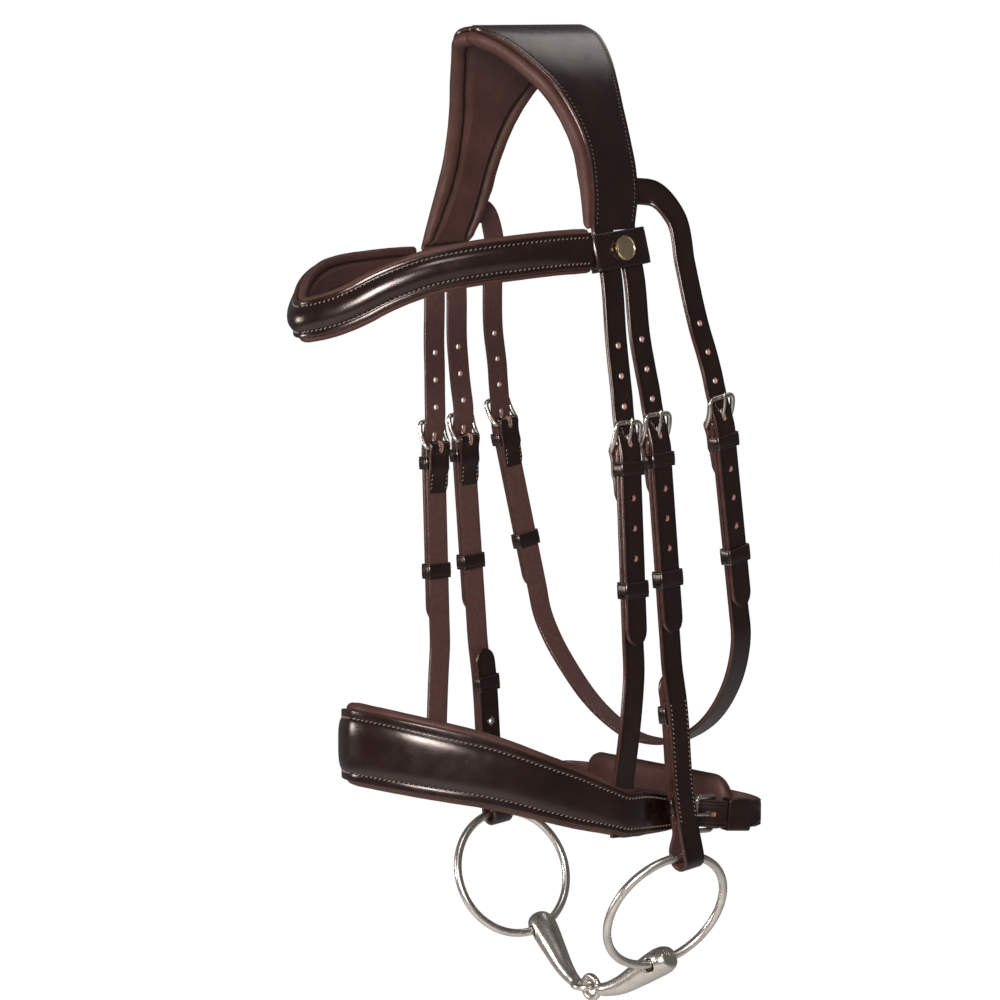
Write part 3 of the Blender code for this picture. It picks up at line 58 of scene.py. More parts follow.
lens.sensor_width = 36
lens.shift_x = -0.002
camera = bpy.data.objects.new("camera", lens)
camera.location = (0.9566, -0.8177, -0.2270)
camera.rotation_euler = (math.radians(87.5), 0, math.radians(50))
stage_scene.collection.objects.link(camera)
stage_scene.camera = camera


def soft_light(name, place, aim, size, power, tint=(1, 1, 1)):
    """A square area light at a place, turned towards its aim."""
    lamp = bpy.data.lights.new(name, "AREA")
    lamp.size = size
    lamp.energy = power
    lamp.color = tint
    made = bpy.data.objects.new(name, lamp)
    made.location = place
    made.rotation_euler = (Vector(aim) - Vector(place)).to_track_quat("-Z", "Y").to_euler()
    stage_scene.collection.objects.link(made)


soft_light("key_front", (1.14, -1.41, 0.12), (0, 0, -0.3), 0.52, 31, (1, 0.965, 0.95))
soft_light("edge_left", (-1.0, -1.5, -0.2), (0, 0, -0.3), 0.45, 11, (1, 0.95, 0.92))
soft_light("sweep_behind", (-0.15, 0.85, 1.15), (0, 0, 0), 0.55, 1.5, (1, 0.985, 0.97))
soft_light("top_right", (0.75, -0.55, 1.05), (0, 0, -0.3), 0.35, 3.0)

world = bpy.data.worlds.new("white sweep")
stage_scene.world = world
world.use_nodes = True
nodes, links = world.node_tree.nodes, world.node_tree.links
rays = nodes.new("ShaderNodeLightPath")
seen = nodes.new("ShaderNodeMath")
seen.operation = "MAXIMUM"
links.new(rays.outputs["Is Camera Ray"], seen.inputs[0])
links.new(rays.outputs["Is Transmission Ray"], seen.inputs[1])
level = nodes.new("ShaderNodeMapRange")
level.inputs["To Min"].default_value = 0.12
level.inputs["To Max"].default_value = 1.0
links.new(seen.outputs[0], level.inputs["Value"])
links.new(level.outputs[0], nodes["Background"].inputs["Strength"])
nodes["Background"].inputs["Color"].default_value = (1, 1, 1, 1)

FLOOR_DROP = 1.25
bpy.ops.mesh.primitive_plane_add(size=30, location=(0, 0, -FLOOR_DROP))
floor = bpy.context.object
floor.name = "floor"
pale = bpy.data.materials.new("pale floor")
pale.use_nodes = True
nodes, links = pale.node_tree.nodes, pale.node_tree.links
rays = nodes.new("ShaderNodeLightPath")
glow = nodes.new("ShaderNodeEmission")
glow.inputs["Strength"].default_value = 1.08
mix = nodes.new("ShaderNodeMixShader")
share = nodes.new("ShaderNodeMath")
share.operation = "MULTIPLY"
share.inputs[1].default_value = 0.93
links.new(rays.outputs["Is Camera Ray"], share.inputs[0])
links.new(share.outputs[0], mix.inputs[0])
nodes["Principled BSDF"].inputs["Base Color"].default_value = (0.86, 0.86, 0.86, 1)
nodes["Principled BSDF"].inputs["Roughness"].default_value = 0.9
links.new(nodes["Principled BSDF"].outputs[0], mix.inputs[1])
links.new(glow.outputs[0], mix.inputs[2])
links.new(mix.outputs[0], nodes["Material Output"].inputs["Surface"])
floor.data.materials.append(pale)

# Headpiece: one piece of polished bridle leather, cut with a broad crown and three billets a side,
# edge painted, creased beside its stitching and punched for the buckles.
HALF_WIDTH, DEPTH, DROP = 0.100, 0.100, 0.500
SIZE = np.array([HALF_WIDTH, DEPTH, DROP])
TILT = math.radians(7.3)
LEATHER = 0.0028
THIN = 0.0022
STRAP = 0.016
GAP = 0.0003
BAR = 0.0016
PITCH = 0.017
LAYER_IN = BAR + GAP
LAYER_OUT = LAYER_IN + LEATHER
BILLET_IN = LAYER_OUT + 1.5 * GAP
BILLET_OUT = BILLET_IN + LEATHER
TOE_RISE = BAR * 3.7
TOE_BILLET_OUT = TOE_RISE - BAR - GAP
MIRROR = np.array([-1, 1, 1])
SIDES = (("near", False), ("off", True))


def unit(v):
    return v / np.linalg.norm(v, axis=-1, keepdims=True)


def distance_along(points):
    """Distance along a line of points, from its first one."""
    return np.concatenate([[0], np.cumsum(np.linalg.norm(np.diff(points, axis=0), axis=1))])


def columns(*values):
    """Values and lines of values side by side, as the columns of a table."""
    return np.stack(np.broadcast_arrays(*values), axis=-1)


def around(count):
    """Angles of count even steps round a full turn."""
    return np.arange(count) * 2 * math.pi / count


def at_places(at, places, table):
    """The three columns of a table at places, by straight steps between its rows."""
    return np.stack([np.interp(at, places, table[:, i]) for i in range(3)], axis=-1)


def smooth(at, places, values):
    """A smooth curve of values through a table: cubic steps whose slopes are the weighted slopes beside
    each row."""
    places, values = np.asarray(places, float), np.asarray(values, float)
    step = np.diff(places)
    slope = np.diff(values) / step
    m = np.concatenate([slope[:1], (step[1:] * slope[:-1] + step[:-1] * slope[1:]) / (step[1:] + step[:-1]),
                        slope[-1:]])
    at = np.clip(at, places[0], places[-1])
    i = np.clip(np.searchsorted(places, at, side="right") - 1, 0, len(step) - 1)
    h = step[i]
    u = (at - places[i]) / h
    return ((2 * u**3 - 3 * u**2 + 1) * values[i] + (u**3 - 2 * u**2 + u) * h * m[i]
            + (3 * u**2 - 2 * u**3) * values[i + 1] + (u**3 - u**2) * h * m[i + 1])


class Route:
    """A smooth curve through points by arc length s, with its outward direction n and crosswise one w."""

    def __init__(self, points, across=None, facing=None, steps=24):
        p = np.array(points, float)
        t = distance_along(p)
        fine = np.unique(np.concatenate([np.linspace(a, b, steps, endpoint=False) for a, b in zip(t, t[1:])]
                                        + [t[-1:]]))
        self.p = np.stack([smooth(fine, t, p[:, i]) for i in range(3)], axis=-1)
        self.s = distance_along(self.p)
        self.length = self.s[-1]
        self.t = unit(np.gradient(self.p, self.s, axis=0))
        if across is not None:
            side = np.array(across, float)
            self.w = unit(side - (self.t @ side)[:, None] * self.t)
            self.n = np.cross(self.t, self.w)
        else:
            out = facing(self.p)
            self.n = unit(out - np.sum(out * self.t, axis=1)[:, None] * self.t)
            self.w = np.cross(self.n, self.t)

    def frame(self, s):
        s = np.asarray(s, float)
        t, n, w = (unit(at_places(s, self.s, table)) for table in (self.t, self.n, self.w))
        return at_places(s, self.s, self.p) + (s - np.clip(s, 0, self.length))[..., None] * t, t, n, w

    def place(self, s, n, w):
        p, _, out, side = self.frame(s)
        return p + np.asarray(n, float)[..., None] * out + np.asarray(w, float)[..., None] * side

    def grid(self, s, n, w):
        """Points of a grid whose row i lies at s[i]."""
        p, _, out, side = self.frame(s)
        return p[:, None] + n[..., None] * out[:, None] + w[..., None] * side[:, None]

    def where(self, point):
        return self.s[np.argmin(np.linalg.norm(self.p - np.asarray(point, float), axis=1))]


def sideways(p):
    """Outwards is sideways from the head's middle plane."""
    return np.sign(p[:, :1]) * np.array([[1.0, 0, 0]])


def strap_points(upper, heel, tip, lower):
    """Upper points, the straight run from above the buckle to past the billet's tip, and lower points."""
    heel, tip = np.array(heel) * SIZE, np.array(tip) * SIZE
    along = unit(tip - heel)
    reach = np.linalg.norm(tip - heel)
    run = [heel - along * PITCH, heel - along * PITCH / 2, heel, tip, heel + along * (reach + STRAP)]
    return [np.array(q) * SIZE for q in upper] + run + [np.array(q) * SIZE for q in lower]


A_HEEL, B_HEEL, T_HEEL = (0.884, 0.039, -0.5006), (0.882, 0.289, -0.4908), (0.993, 0.725, -0.4684)
A_POINTS = strap_points(((0.804, -0.065, -0.236), (0.832, -0.020, -0.292), (0.858, -0.002, -0.369),
                         (0.868, 0.012, -0.405)), A_HEEL, (0.899, 0.086, -0.7300),
                        ((0.900, 0.080, -0.800), (0.888, 0.058, -0.850), (0.868, 0.034, -0.902),
                         (0.866, 0.022, -0.960)))
B_POINTS = strap_points(((0.804, 0.115, -0.236), (0.832, 0.165, -0.290), (0.858, 0.192, -0.3646),
                         (0.870, 0.221, -0.400)), B_HEEL, (0.895, 0.398, -0.7276),
                        ((0.903, 0.450, -0.806), (0.912, 0.510, -0.926), (0.921, 0.548, -0.970),
                         (0.937, 0.572, -1.000), (0.944, 0.585, -1.030)))
T_HALF = strap_points(((0.772, 0.250, -0.188), (0.812, 0.385, -0.1910), (0.852, 0.495, -0.2175),
                       (0.898, 0.530, -0.274), (0.955, 0.585, -0.3456), (0.982, 0.645, -0.3902)), T_HEEL,
                      (0.922, 0.970, -0.6980), ((0.850, 1.045, -0.7650), (0.735, 1.090, -0.8025),
                                                (0.520, 1.130, -0.8475), (0.350, 1.142, -0.8680),
                                                (0.170, 1.148, -0.8815)))
T_TIP_Z = -0.6980 * DROP


def hanging(p):
    """Outwards is sideways beside the head, and down where the throatlatch passes under it."""
    return np.stack([p[:, 0], 0 * p[:, 0], np.minimum(0, p[:, 2] - T_TIP_Z)], axis=-1)


A_ROUTE = Route(A_POINTS, facing=sideways)
B_ROUTE = Route(B_POINTS, facing=sideways)
T_ROUTE = Route(T_HALF + [np.array([0.0, 1.150, -0.8845]) * SIZE] + [q * MIRROR for q in reversed(T_HALF)],
                facing=hanging)
SITES = {"noseband": (A_ROUTE, A_ROUTE.where(np.array(A_HEEL) * SIZE)),
         "cheek": (B_ROUTE, B_ROUTE.where(np.array(B_HEEL) * SIZE)),
         "throat": (T_ROUTE, T_ROUTE.where(np.array(T_HEEL) * SIZE))}


def skin(name, grid, paint=None, ring=False, off=False, sharp=60):
    """A closed skin over a grid: each row goes once round the section, and the ends are flat or join in a
    ring."""
    rows, count = grid.shape[:2]
    a = np.arange(rows * count).reshape(rows, count)
    low, high = (a, np.roll(a, -1, axis=0)) if ring else (a[:-1], a[1:])
    quads = np.stack([low, np.roll(low, -1, axis=1), np.roll(high, -1, axis=1), high],
                     axis=-1).reshape(-1, 4)
    co = grid.reshape(-1, 3) * (MIRROR if off else 1)
    corner = co[quads]
    volume = np.sum(np.cross(corner[:, 0], corner[:, 1]) * corner[:, 2]
                    + np.cross(corner[:, 0], corner[:, 2]) * corner[:, 3])
    caps = [] if ring else [a[0][::-1], a[-1]]
    for cap in caps:
        fan = co[cap]
        volume += np.sum(np.cross(fan[0], fan[1:-1]) * fan[2:])
    faces = quads.tolist() + [cap.tolist() for cap in caps]
    if volume < 0:
        faces = [face[::-1] for face in faces]
    mesh = bpy.data.meshes.new(name)
    mesh.from_pydata(co.tolist(), [], faces)
    if paint is not None:
        made = mesh.attributes.new("cut", "FLOAT_COLOR", "CORNER")
        colours = np.concatenate([paint, np.ones((rows, count, 1))], axis=2).reshape(-1, 4)
        made.data.foreach_set("color", colours[np.concatenate(faces)].astype(np.float32).ravel())
    mesh.shade_smooth()
    mesh.set_sharp_from_angle(angle=math.radians(sharp))
    piece = bpy.data.objects.new(name, mesh)
    stage_scene.collection.objects.link(piece)
    return piece


def mirrored(n, w, shades):
    """A half profile (n, w) and its paint, completed by their mirror image in w."""
    last = len(shades) - 2
    shades = np.concatenate([shades, shades[last:0:-1]])
    w = np.concatenate([w, -w[:, last:0:-1]], axis=1)
    n = np.concatenate([n, n[:, last:0:-1]], axis=1)
    return n, w, np.broadcast_to(shades, (len(w), *shades.shape))


def strap_profile(half, low, high, round_over=0.0011, row=0.0021, depth=0.00030):
    """Points (n, w) round a flat strap: a rounded outer face with a crease beside each edge, straight walls
    and a flat back. Its paint is red on the walls, green on the back and blue in the creases, for painted
    shade there."""
    half, low, high = (np.asarray(v, float).reshape(-1, 1) for v in np.broadcast_arrays(half, low, high))
    turn = np.radians([0, 22, 45, 68, 90])
    r = np.minimum(round_over, (high - low) * 0.42)
    near = np.minimum(row, half * 0.6)
    face_w = np.concatenate([0 * half, half * 0.3, np.maximum(half - near - 0.0016, half * 0.35),
                             half - near - 0.0007, half - near, half - near + 0.0006], axis=1)
    face_n = np.concatenate([high, high, high, high - depth * 0.3, high - depth, high - depth * 0.3], axis=1)
    edge_w = half - r + r * np.sin(turn)
    edge_n = high - r + r * np.cos(turn)
    back_r = np.minimum(0.0005, (high - low) * 0.3)
    back_w = half - back_r + back_r * np.cos(turn)
    back_n = low + back_r - back_r * np.sin(turn)
    rest_w = np.concatenate([half * 0.6, 0 * half], axis=1)
    w = np.concatenate([face_w, edge_w, back_w, rest_w], axis=1)
    n = np.concatenate([face_n, edge_n, back_n, low + 0 * rest_w], axis=1)
    red = [0, 0, 0, 0, 0, 0, 0, 0.1, 0.45, 0.9, 1, 1, 1, 0.8, 0.4, 0.1, 0, 0]
    green = [0] * 13 + [0.2, 0.7, 1, 1, 1]
    blue = [0, 0, 0.1, 0.5, 1, 0.5] + [0] * 12
    return mirrored(n, w, np.array([red, green, blue]).T)


class Finish:
    """A node material in the object's own coordinates, with its noises, ranges, mixes and relief."""

    def __init__(self, name):
        self.material = bpy.data.materials.new(name)
        self.material.use_nodes = True
        self.nodes, self.links = self.material.node_tree.nodes, self.material.node_tree.links
        self.shader = self.nodes["Principled BSDF"].inputs
        self.where = self.nodes.new("ShaderNodeTexCoord").outputs["Object"]

    def feed(self, socket, value):
        """Links a socket, or sets it to a colour or a number."""
        if isinstance(value, bpy.types.NodeSocket):
            self.links.new(value, socket)
        else:
            socket.default_value = (*value, 1) if isinstance(value, tuple) else value

    def made(self, kind, output=0, **values):
        """A new node with its inputs fed by number, such as i0 and i1; returns one output."""
        node = self.nodes.new(kind)
        for key, value in values.items():
            if key[1:].isdigit():
                self.feed(node.inputs[int(key[1:])], value)
            else:
                setattr(node, key, value)
        return node.outputs[output]

    def noise(self, scale, detail=2, rough=0.5):
        node = self.nodes.new("ShaderNodeTexNoise")
        for key, value in (("Vector", self.where), ("Scale", scale), ("Detail", detail),
                           ("Roughness", rough)):
            self.feed(node.inputs[key], value)
        return node.outputs[0]

    def span(self, value, low, high, to_low=0, to_high=1):
        """A value's range between low and high, spread from to_low to to_high and held there outside it."""
        return self.made("ShaderNodeMapRange", i0=value, i1=low, i2=high, i3=to_low, i4=to_high)

    def blend(self, factor, first, second):
        return self.made("ShaderNodeMix", 2, data_type="RGBA", i0=factor, i6=first, i7=second)

    def relief(self, height, strength, distance):
        """Sets the relief from a height, and returns the finished material."""
        bump = self.nodes.new("ShaderNodeBump")
        for key, value in (("Strength", strength), ("Distance", distance), ("Height", height)):
            self.feed(bump.inputs[key], value)
        self.links.new(bump.outputs[0], self.shader["Normal"])
        return self.material


def shaded(colour, share):
    """A colour darkened to a share of itself."""
    return tuple(c * share for c in colour)


def leather(name, dark, light, edge, back, roughness, grain, bump, shine, wrinkle=0.0):
    """A leather finish: clouds of two tones and pores, with a painted edge (red), a flesh side (green),
    painted shade in creases and seams (blue) and pale raw walls lightened by a painted highlight (red and
    blue) where the mesh is painted so."""
    look = Finish(name)
    cut = look.nodes.new("ShaderNodeAttribute")
    cut.attribute_name = "cut"
    parts = look.nodes.new("ShaderNodeSeparateColor")
    look.links.new(cut.outputs["Color"], parts.inputs[0])
    red, green, blue = parts.outputs
    pores = look.noise(grain, 5, 0.7)
    colour = look.blend(look.span(look.noise(34, 4, 0.6), 0.3, 0.72), dark, light)
    colour = look.blend(look.span(pores, 0.52, 0.75, 0, 0.35), colour, shaded(dark, 0.45))
    # Painted shade: creases and seams (blue) are darkened.
    colour = look.blend(blue, colour, shaded(dark, 0.35))
    rough_back = look.blend(look.span(look.noise(420, 6, 0.6), 0.3, 0.7), back, shaded(back, 0.62))
    colour = look.blend(green, colour, rough_back)
    rough_edge = look.blend(look.span(look.noise(160, 4, 0.6), 0.35, 0.7), edge, shaded(edge, 0.55))
    colour = look.blend(red, colour, rough_edge)
    # Raw walls of holes and slots (red and blue) are painted pale: raw leather lightened by a painted
    # highlight.
    raw_wall_and_highlight = look.made("ShaderNodeMath", operation="MULTIPLY", i0=red, i1=blue)
    look.feed(look.shader["Base Color"], look.blend(look.span(raw_wall_and_highlight, 0.5, 1), colour, (0.42, 0.22, 0.18)))
    gloss = look.span(look.noise(90, 5, 0.6), 0.25, 0.8, roughness - 0.05, roughness + 0.1)
    look.feed(look.shader["Roughness"], look.made("ShaderNodeMath", operation="MULTIPLY_ADD", i0=green,
                                                  i1=0.3, i2=gloss))
    look.shader["Specular IOR Level"].default_value = shine
    look.shader["Specular Tint"].default_value = (1, 0.86, 0.80, 1)
    height = look.made("ShaderNodeMath", operation="MULTIPLY_ADD", i0=look.noise(260, 5, 0.6), i1=wrinkle,
                       i2=pores)
    return look.relief(height, bump, 0.0004)


BRIDLE_LEATHER = leather("polished bridle leather", (0.0078, 0.0027, 0.0022), (0.0175, 0.0060, 0.0049),
                         (0.070, 0.026, 0.020), (0.115, 0.048, 0.042), 0.22, 1500, 0.10, shine=0.80)


def finished(piece, material, body, slot, *stands_for):
    """Gives a piece its finish and its body, and hides the CAD nodes that it stands for. Its slot is not
    used.
    """
    piece.data.materials.clear()
    piece.data.materials.append(material)
    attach(piece, body)
    if stands_for:
        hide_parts(*stands_for)
    return piece


def combine(piece, other, operation):
    """Adds an exact boolean with another object to a piece."""
    made = piece.modifiers.new(operation.lower(), "BOOLEAN")
    made.operation = operation
    made.solver = "EXACT"
    made.object = other


def settle(piece, helpers):
    """Keeps the result of a piece's modifiers as its mesh and removes the objects that helped."""
    piece.data = bpy.data.meshes.new_from_object(piece.evaluated_get(bpy.context.evaluated_depsgraph_get()))
    piece.modifiers.clear()
    for helper in helpers:
        bpy.data.objects.remove(helper)


def cut_out(piece, cutters):
    """Takes the cutters out of a piece."""
    for cutter in cutters:
        combine(piece, cutter, "DIFFERENCE")
    settle(piece, cutters)


def punch(q, t, n, w, half_t, half_w, half_n, off, count=18):
    """Round or long cutters at places q: each is a ring of points, stretched along t and carried along n,
    and leaves raw walls painted a pale tone that is partly the raw leather and partly a painted highlight."""
    a = around(count)
    x = half_w * np.cos(a)
    y = half_w * np.sin(a) + (half_t - half_w) * np.sign(np.round(np.sin(a), 6))
    rings = [q[:, None] + x[:, None] * w[:, None] + y[:, None] * t[:, None] + h * n[:, None]
             for h in (-half_n, half_n)]
    verts, faces = [], []
    for i in range(len(q)):
        base = len(verts)
        verts += (np.concatenate([rings[0][i], rings[1][i]]) * (MIRROR if off else 1)).tolist()
        faces += [[base + k, base + (k + 1) % count, base + count + (k + 1) % count, base + count + k]
                  for k in range(count)]
        faces += [[base + k for k in range(count)][::-1], [base + count + k for k in range(count)]]
    if off == (np.dot(np.cross(w[0], t[0]), n[0]) > 0):
        faces = [face[::-1] for face in faces]
    mesh = bpy.data.meshes.new("punch")
    mesh.from_pydata(verts, [], faces)
    made = mesh.attributes.new("cut", "FLOAT_COLOR", "CORNER")
    # Red and blue together mark pale raw walls, partly a painted highlight.
    made.data.foreach_set("color", np.tile([1.0, 0, 1.0, 1], len(mesh.loops)).astype(np.float32))
    cutter = bpy.data.objects.new("punch", mesh)
    stage_scene.collection.objects.link(cutter)
    return cutter


# x over the half width, z over the drop, front edge and rear edge over the depth
CROWN_ROWS = np.array([(0.00, 0.0243, -0.40, 0.45), (0.05, 0.0240, -0.425, 0.448),
                       (0.08, 0.0228, -0.432, 0.447), (0.11, 0.0205, -0.431, 0.450),
                       (0.14, 0.0172, -0.421, 0.455), (0.21, 0.0080, -0.375, 0.465),
                       (0.28, -0.0040, -0.325, 0.450), (0.41, -0.032, -0.235, 0.402),
                       (0.50, -0.056, -0.168, 0.358), (0.60, -0.0915, -0.110, 0.315),
                       (0.70, -0.1365, -0.078, 0.287), (0.755, -0.169, -0.090, 0.276),
                       (0.80, -0.2035, -0.115, 0.248), (0.83, -0.236, -0.145, 0.195)])
tilt_way = np.array([0, math.cos(TILT), math.sin(TILT)])
arch = np.stack([CROWN_ROWS[:, 0] * HALF_WIDTH, 0 * CROWN_ROWS[:, 0], CROWN_ROWS[:, 1] * DROP], axis=-1)
CROWN = Route(np.concatenate([arch[:0:-1] * MIRROR, arch]), across=tilt_way)
CROWN.w[:] = tilt_way


def crown_edges(arc):
    """The crown's front and rear edge at places on its arch, by smooth steps through the table."""
    x = np.abs(CROWN.frame(arc)[0][:, 0]) / HALF_WIDTH
    widest = [np.interp(x, CROWN_ROWS[:, 0], CROWN_ROWS[:, i]) for i in (2, 3)]
    eased = [smooth(x, CROWN_ROWS[:, 0], CROWN_ROWS[:, i]) for i in (2, 3)]
    return [(0.2 * a + 0.8 * b) * DEPTH / math.cos(TILT) for a, b in zip(widest, eased)]


CROWN_OVER = 0.0014  # the crown runs a little past the billets' tops
arc = np.linspace(-CROWN_OVER, CROWN.length + CROWN_OVER, 183)
front, rear = crown_edges(arc)
n, w, paint = strap_profile((rear - front) / 2, -LEATHER, 0, row=0.0032)
grid = CROWN.grid(arc, n, w + ((rear + front) / 2)[:, None])
finished(skin("crown_leather", grid, paint), BRIDLE_LEATHER, "tack", "outer_leather", "headpiece_leather")

TIP = np.array([(0, 1), (0.2, 0.985), (0.4, 0.93), (0.6, 0.83), (0.76, 0.68), (0.88, 0.50), (0.96, 0.30),
                (1, 0.12)])
TIP_LENGTH = STRAP * 0.62
BILLET_LENGTH = 0.1155
HOLE_PITCH, HOLE, HOLE_DEEP = 0.018, 0.0038, 0.004
TONGUE_HOLE, TONGUE_HOLE_HALF, TONGUE_HOLE_WIDE, PUNCH_DEEP = -0.0064, 0.0038, 0.0016, 0.007
HOLES = np.array([-3, -2, -1, 2, 3, 4])


def billet_out(s):
    """How far a billet's outer face lies from the route: over the heel bar, and behind the toe bar."""
    return smooth(s, (-PITCH * 3.2, -PITCH * 2, -PITCH, -PITCH * 0.5, 0, PITCH),
                  (LEATHER, (LEATHER + TOE_BILLET_OUT) / 2, TOE_BILLET_OUT,
                   (TOE_BILLET_OUT + BILLET_OUT) / 2, BILLET_OUT, BILLET_OUT))


def billet_slot(route, heel, off):
    """The cutter for the hole of a billet that holds the buckle's tongue."""
    p, t, out, across = route.frame(heel + np.array([TONGUE_HOLE]))
    middle = p + out * (BILLET_OUT + TOE_BILLET_OUT) / 2
    return punch(middle, t, out, across, TONGUE_HOLE_HALF, TONGUE_HOLE_WIDE, PUNCH_DEEP, off)


for label, (route, heel) in SITES.items():
    s = np.concatenate([np.linspace(-heel + 0.001, BILLET_LENGTH - TIP_LENGTH, 110),
                        BILLET_LENGTH - TIP_LENGTH * (1 - TIP[1:, 0])])
    half = np.interp(s, BILLET_LENGTH - TIP_LENGTH * (1 - TIP[:, 0]), TIP[:, 1]) * STRAP / 2
    high = billet_out(s)
    if label == "throat":
        high = high - smooth(s + heel, (0, 0.012, 0.03, 0.05), (0.0042, 0.003, 0.0008, 0))
    else:
        high = high - smooth(s + heel, (0, 0.004, 0.03, 0.05), (0.0004, 0.0004, 0, 0))
    n, w, paint = strap_profile(half, high - LEATHER, high, row=0.0016, depth=0.00028)
    at = -PITCH / 2 + HOLES * HOLE_PITCH
    for side, off in SIDES:
        billet = skin(f"{label}_billet_{side}", route.grid(heel + s, n, w), paint, off=off)
        p, t, out, across = route.frame(heel + at)
        holes = punch(p + out * (billet_out(at) - LEATHER / 2)[:, None], t, out, across, HOLE / 2, HOLE / 2,
                      HOLE_DEEP, off)
        cut_out(billet, [holes, billet_slot(route, heel, off)])
        finished(billet, BRIDLE_LEATHER, "tack", "outer_leather", "headpiece_leather")


# Stitching: waxed thread, beige on the bands and brown on the crown, about nine stitches to the inch,
# each lying aslant in its crease.
def waxed_thread(name, dark, light):
    """A twisted thread: fine noise between two tones, with the twist as relief."""
    look = Finish(name)
    twist = look.noise(700)
    look.feed(look.shader["Base Color"], look.blend(twist, dark, light))
    look.shader["Roughness"].default_value = 0.7
    return look.relief(twist, 0.4, 0.0002)


PALE_THREAD = waxed_thread("waxed beige thread", (0.13, 0.075, 0.06), (0.46, 0.33, 0.26))
BROWN_THREAD = waxed_thread("waxed brown thread", (0.055, 0.026, 0.021), (0.20, 0.115, 0.095))
STITCH_PITCH = 0.0029
STITCH_LENGTH = 0.0020
STITCH_THICK = 0.00036
STITCH_LOOK = 0.0006
CROWN_SEAM = 0.0032
STITCH_SLANT = math.radians(34)


def stitch_row(points, outward):
    """Even stitch places on a dense line of points: place, direction and outward direction of each."""
    length = distance_along(points)
    count = max(2, int(round(length[-1] / STITCH_PITCH)))
    at = length[-1] * (np.arange(count) + 0.5) / count
    ahead = at_places(at + STITCH_LOOK, length, points) - at_places(at - STITCH_LOOK, length, points)
    return at_places(at, length, points), unit(ahead), unit(at_places(at, length, outward))


def sewn(name, rows, body, thread=PALE_THREAD):
    """Stitches and their mirror images as small spindles: rings of six points whose radius swells by a half
    sine from end to end."""
    q, along, up = (np.concatenate(part) for part in zip(*rows))
    q, along, up = (np.concatenate([part, part * MIRROR]) for part in (q, along, up))
    side = np.cross(up, along)
    turn = STITCH_SLANT * np.ones(len(q))
    turn[len(q) // 2:] *= -1
    heading = along * np.cos(turn)[:, None] + side * np.sin(turn)[:, None]
    side = np.cross(up, heading)
    u = np.linspace(0.06, 0.94, 5)
    a = np.arange(6) * math.pi / 3
    swell = np.sin(u * math.pi) ** 0.6
    x = np.repeat((u - 0.5) * STITCH_LENGTH, 6)
    y = (swell[:, None] * np.cos(a) * STITCH_THICK).ravel()
    z = (swell[:, None] * np.sin(a) * STITCH_THICK * 0.85 - 0.00006 + 0.0001 * swell[:, None]).ravel()
    co = q[:, None] + x[:, None] * heading[:, None] + y[:, None] * side[:, None] + z[:, None] * up[:, None]
    base = np.arange(24).reshape(4, 6)
    quads = np.stack([base, np.roll(base, -1, axis=1), np.roll(base, -1, axis=1) + 6, base + 6],
                     axis=-1).reshape(-1, 4)
    first = (quads[None] + 30 * np.arange(len(q))[:, None, None]).reshape(-1, 4)
    ends = np.concatenate([30 * np.arange(len(q))[:, None] + np.arange(6)[::-1],
                           30 * np.arange(len(q))[:, None] + 24 + np.arange(6)])
    mesh = bpy.data.meshes.new(name)
    mesh.from_pydata(co.reshape(-1, 3).tolist(), [], first.tolist() + ends.tolist())
    mesh.shade_smooth()
    piece = bpy.data.objects.new(name, mesh)
    stage_scene.collection.objects.link(piece)
    return finished(piece, thread, body, "outer_leather")


half_arc = np.linspace(CROWN.length / 2 + 0.0015, CROWN.length - 0.002, 300)
front, rear = crown_edges(half_arc)
out = CROWN.frame(half_arc)[2]
sewn("crown_stitches", [stitch_row(CROWN.place(half_arc, -0.0002, front + CROWN_SEAM), out),
                        stitch_row(CROWN.place(half_arc, -0.0002, rear - CROWN_SEAM), out)], "tack",
     thread=BROWN_THREAD)

# Crown lining: soft leather drawn over foam, rolled out past both edges of the headpiece, with a seam
# inside each roll and a full middle panel that rests behind the ears.
SOFT_LEATHER = leather("soft lining leather", (0.062, 0.026, 0.021), (0.108, 0.048, 0.040),
                       (0.06, 0.03, 0.025), (0.06, 0.03, 0.025), 0.42, 1100, 0.42, shine=0.34, wrinkle=1.4)
CROWN_PAD, CROWN_ROLL = 0.0085, 0.0046


def rounded(control, count):
    """A closed smooth curve through control points (n, w) for each row, by cubic steps with even knots."""
    k = control.shape[1]
    at = np.arange(count) * k / count
    i = at.astype(int)
    u = (at - i)[None, :, None]
    a, b, c, d = (control[:, (i + shift) % k] for shift in (-1, 0, 1, 2))
    q = 0.5 * (2 * b + (c - a) * u + (2 * a - 5 * b + 4 * c - d) * u**2 + (3 * b - a - 3 * c + d) * u**3)
    return q[..., 0], q[..., 1]


def seam_shade_paint(dark):
    """Paint that is blue, and nothing else, where a seam is dark: painted shade in the tuck or groove beside
    the seam.
    """
    paint = np.zeros((*dark.shape, 3))
    paint[..., 2] = dark
    return paint


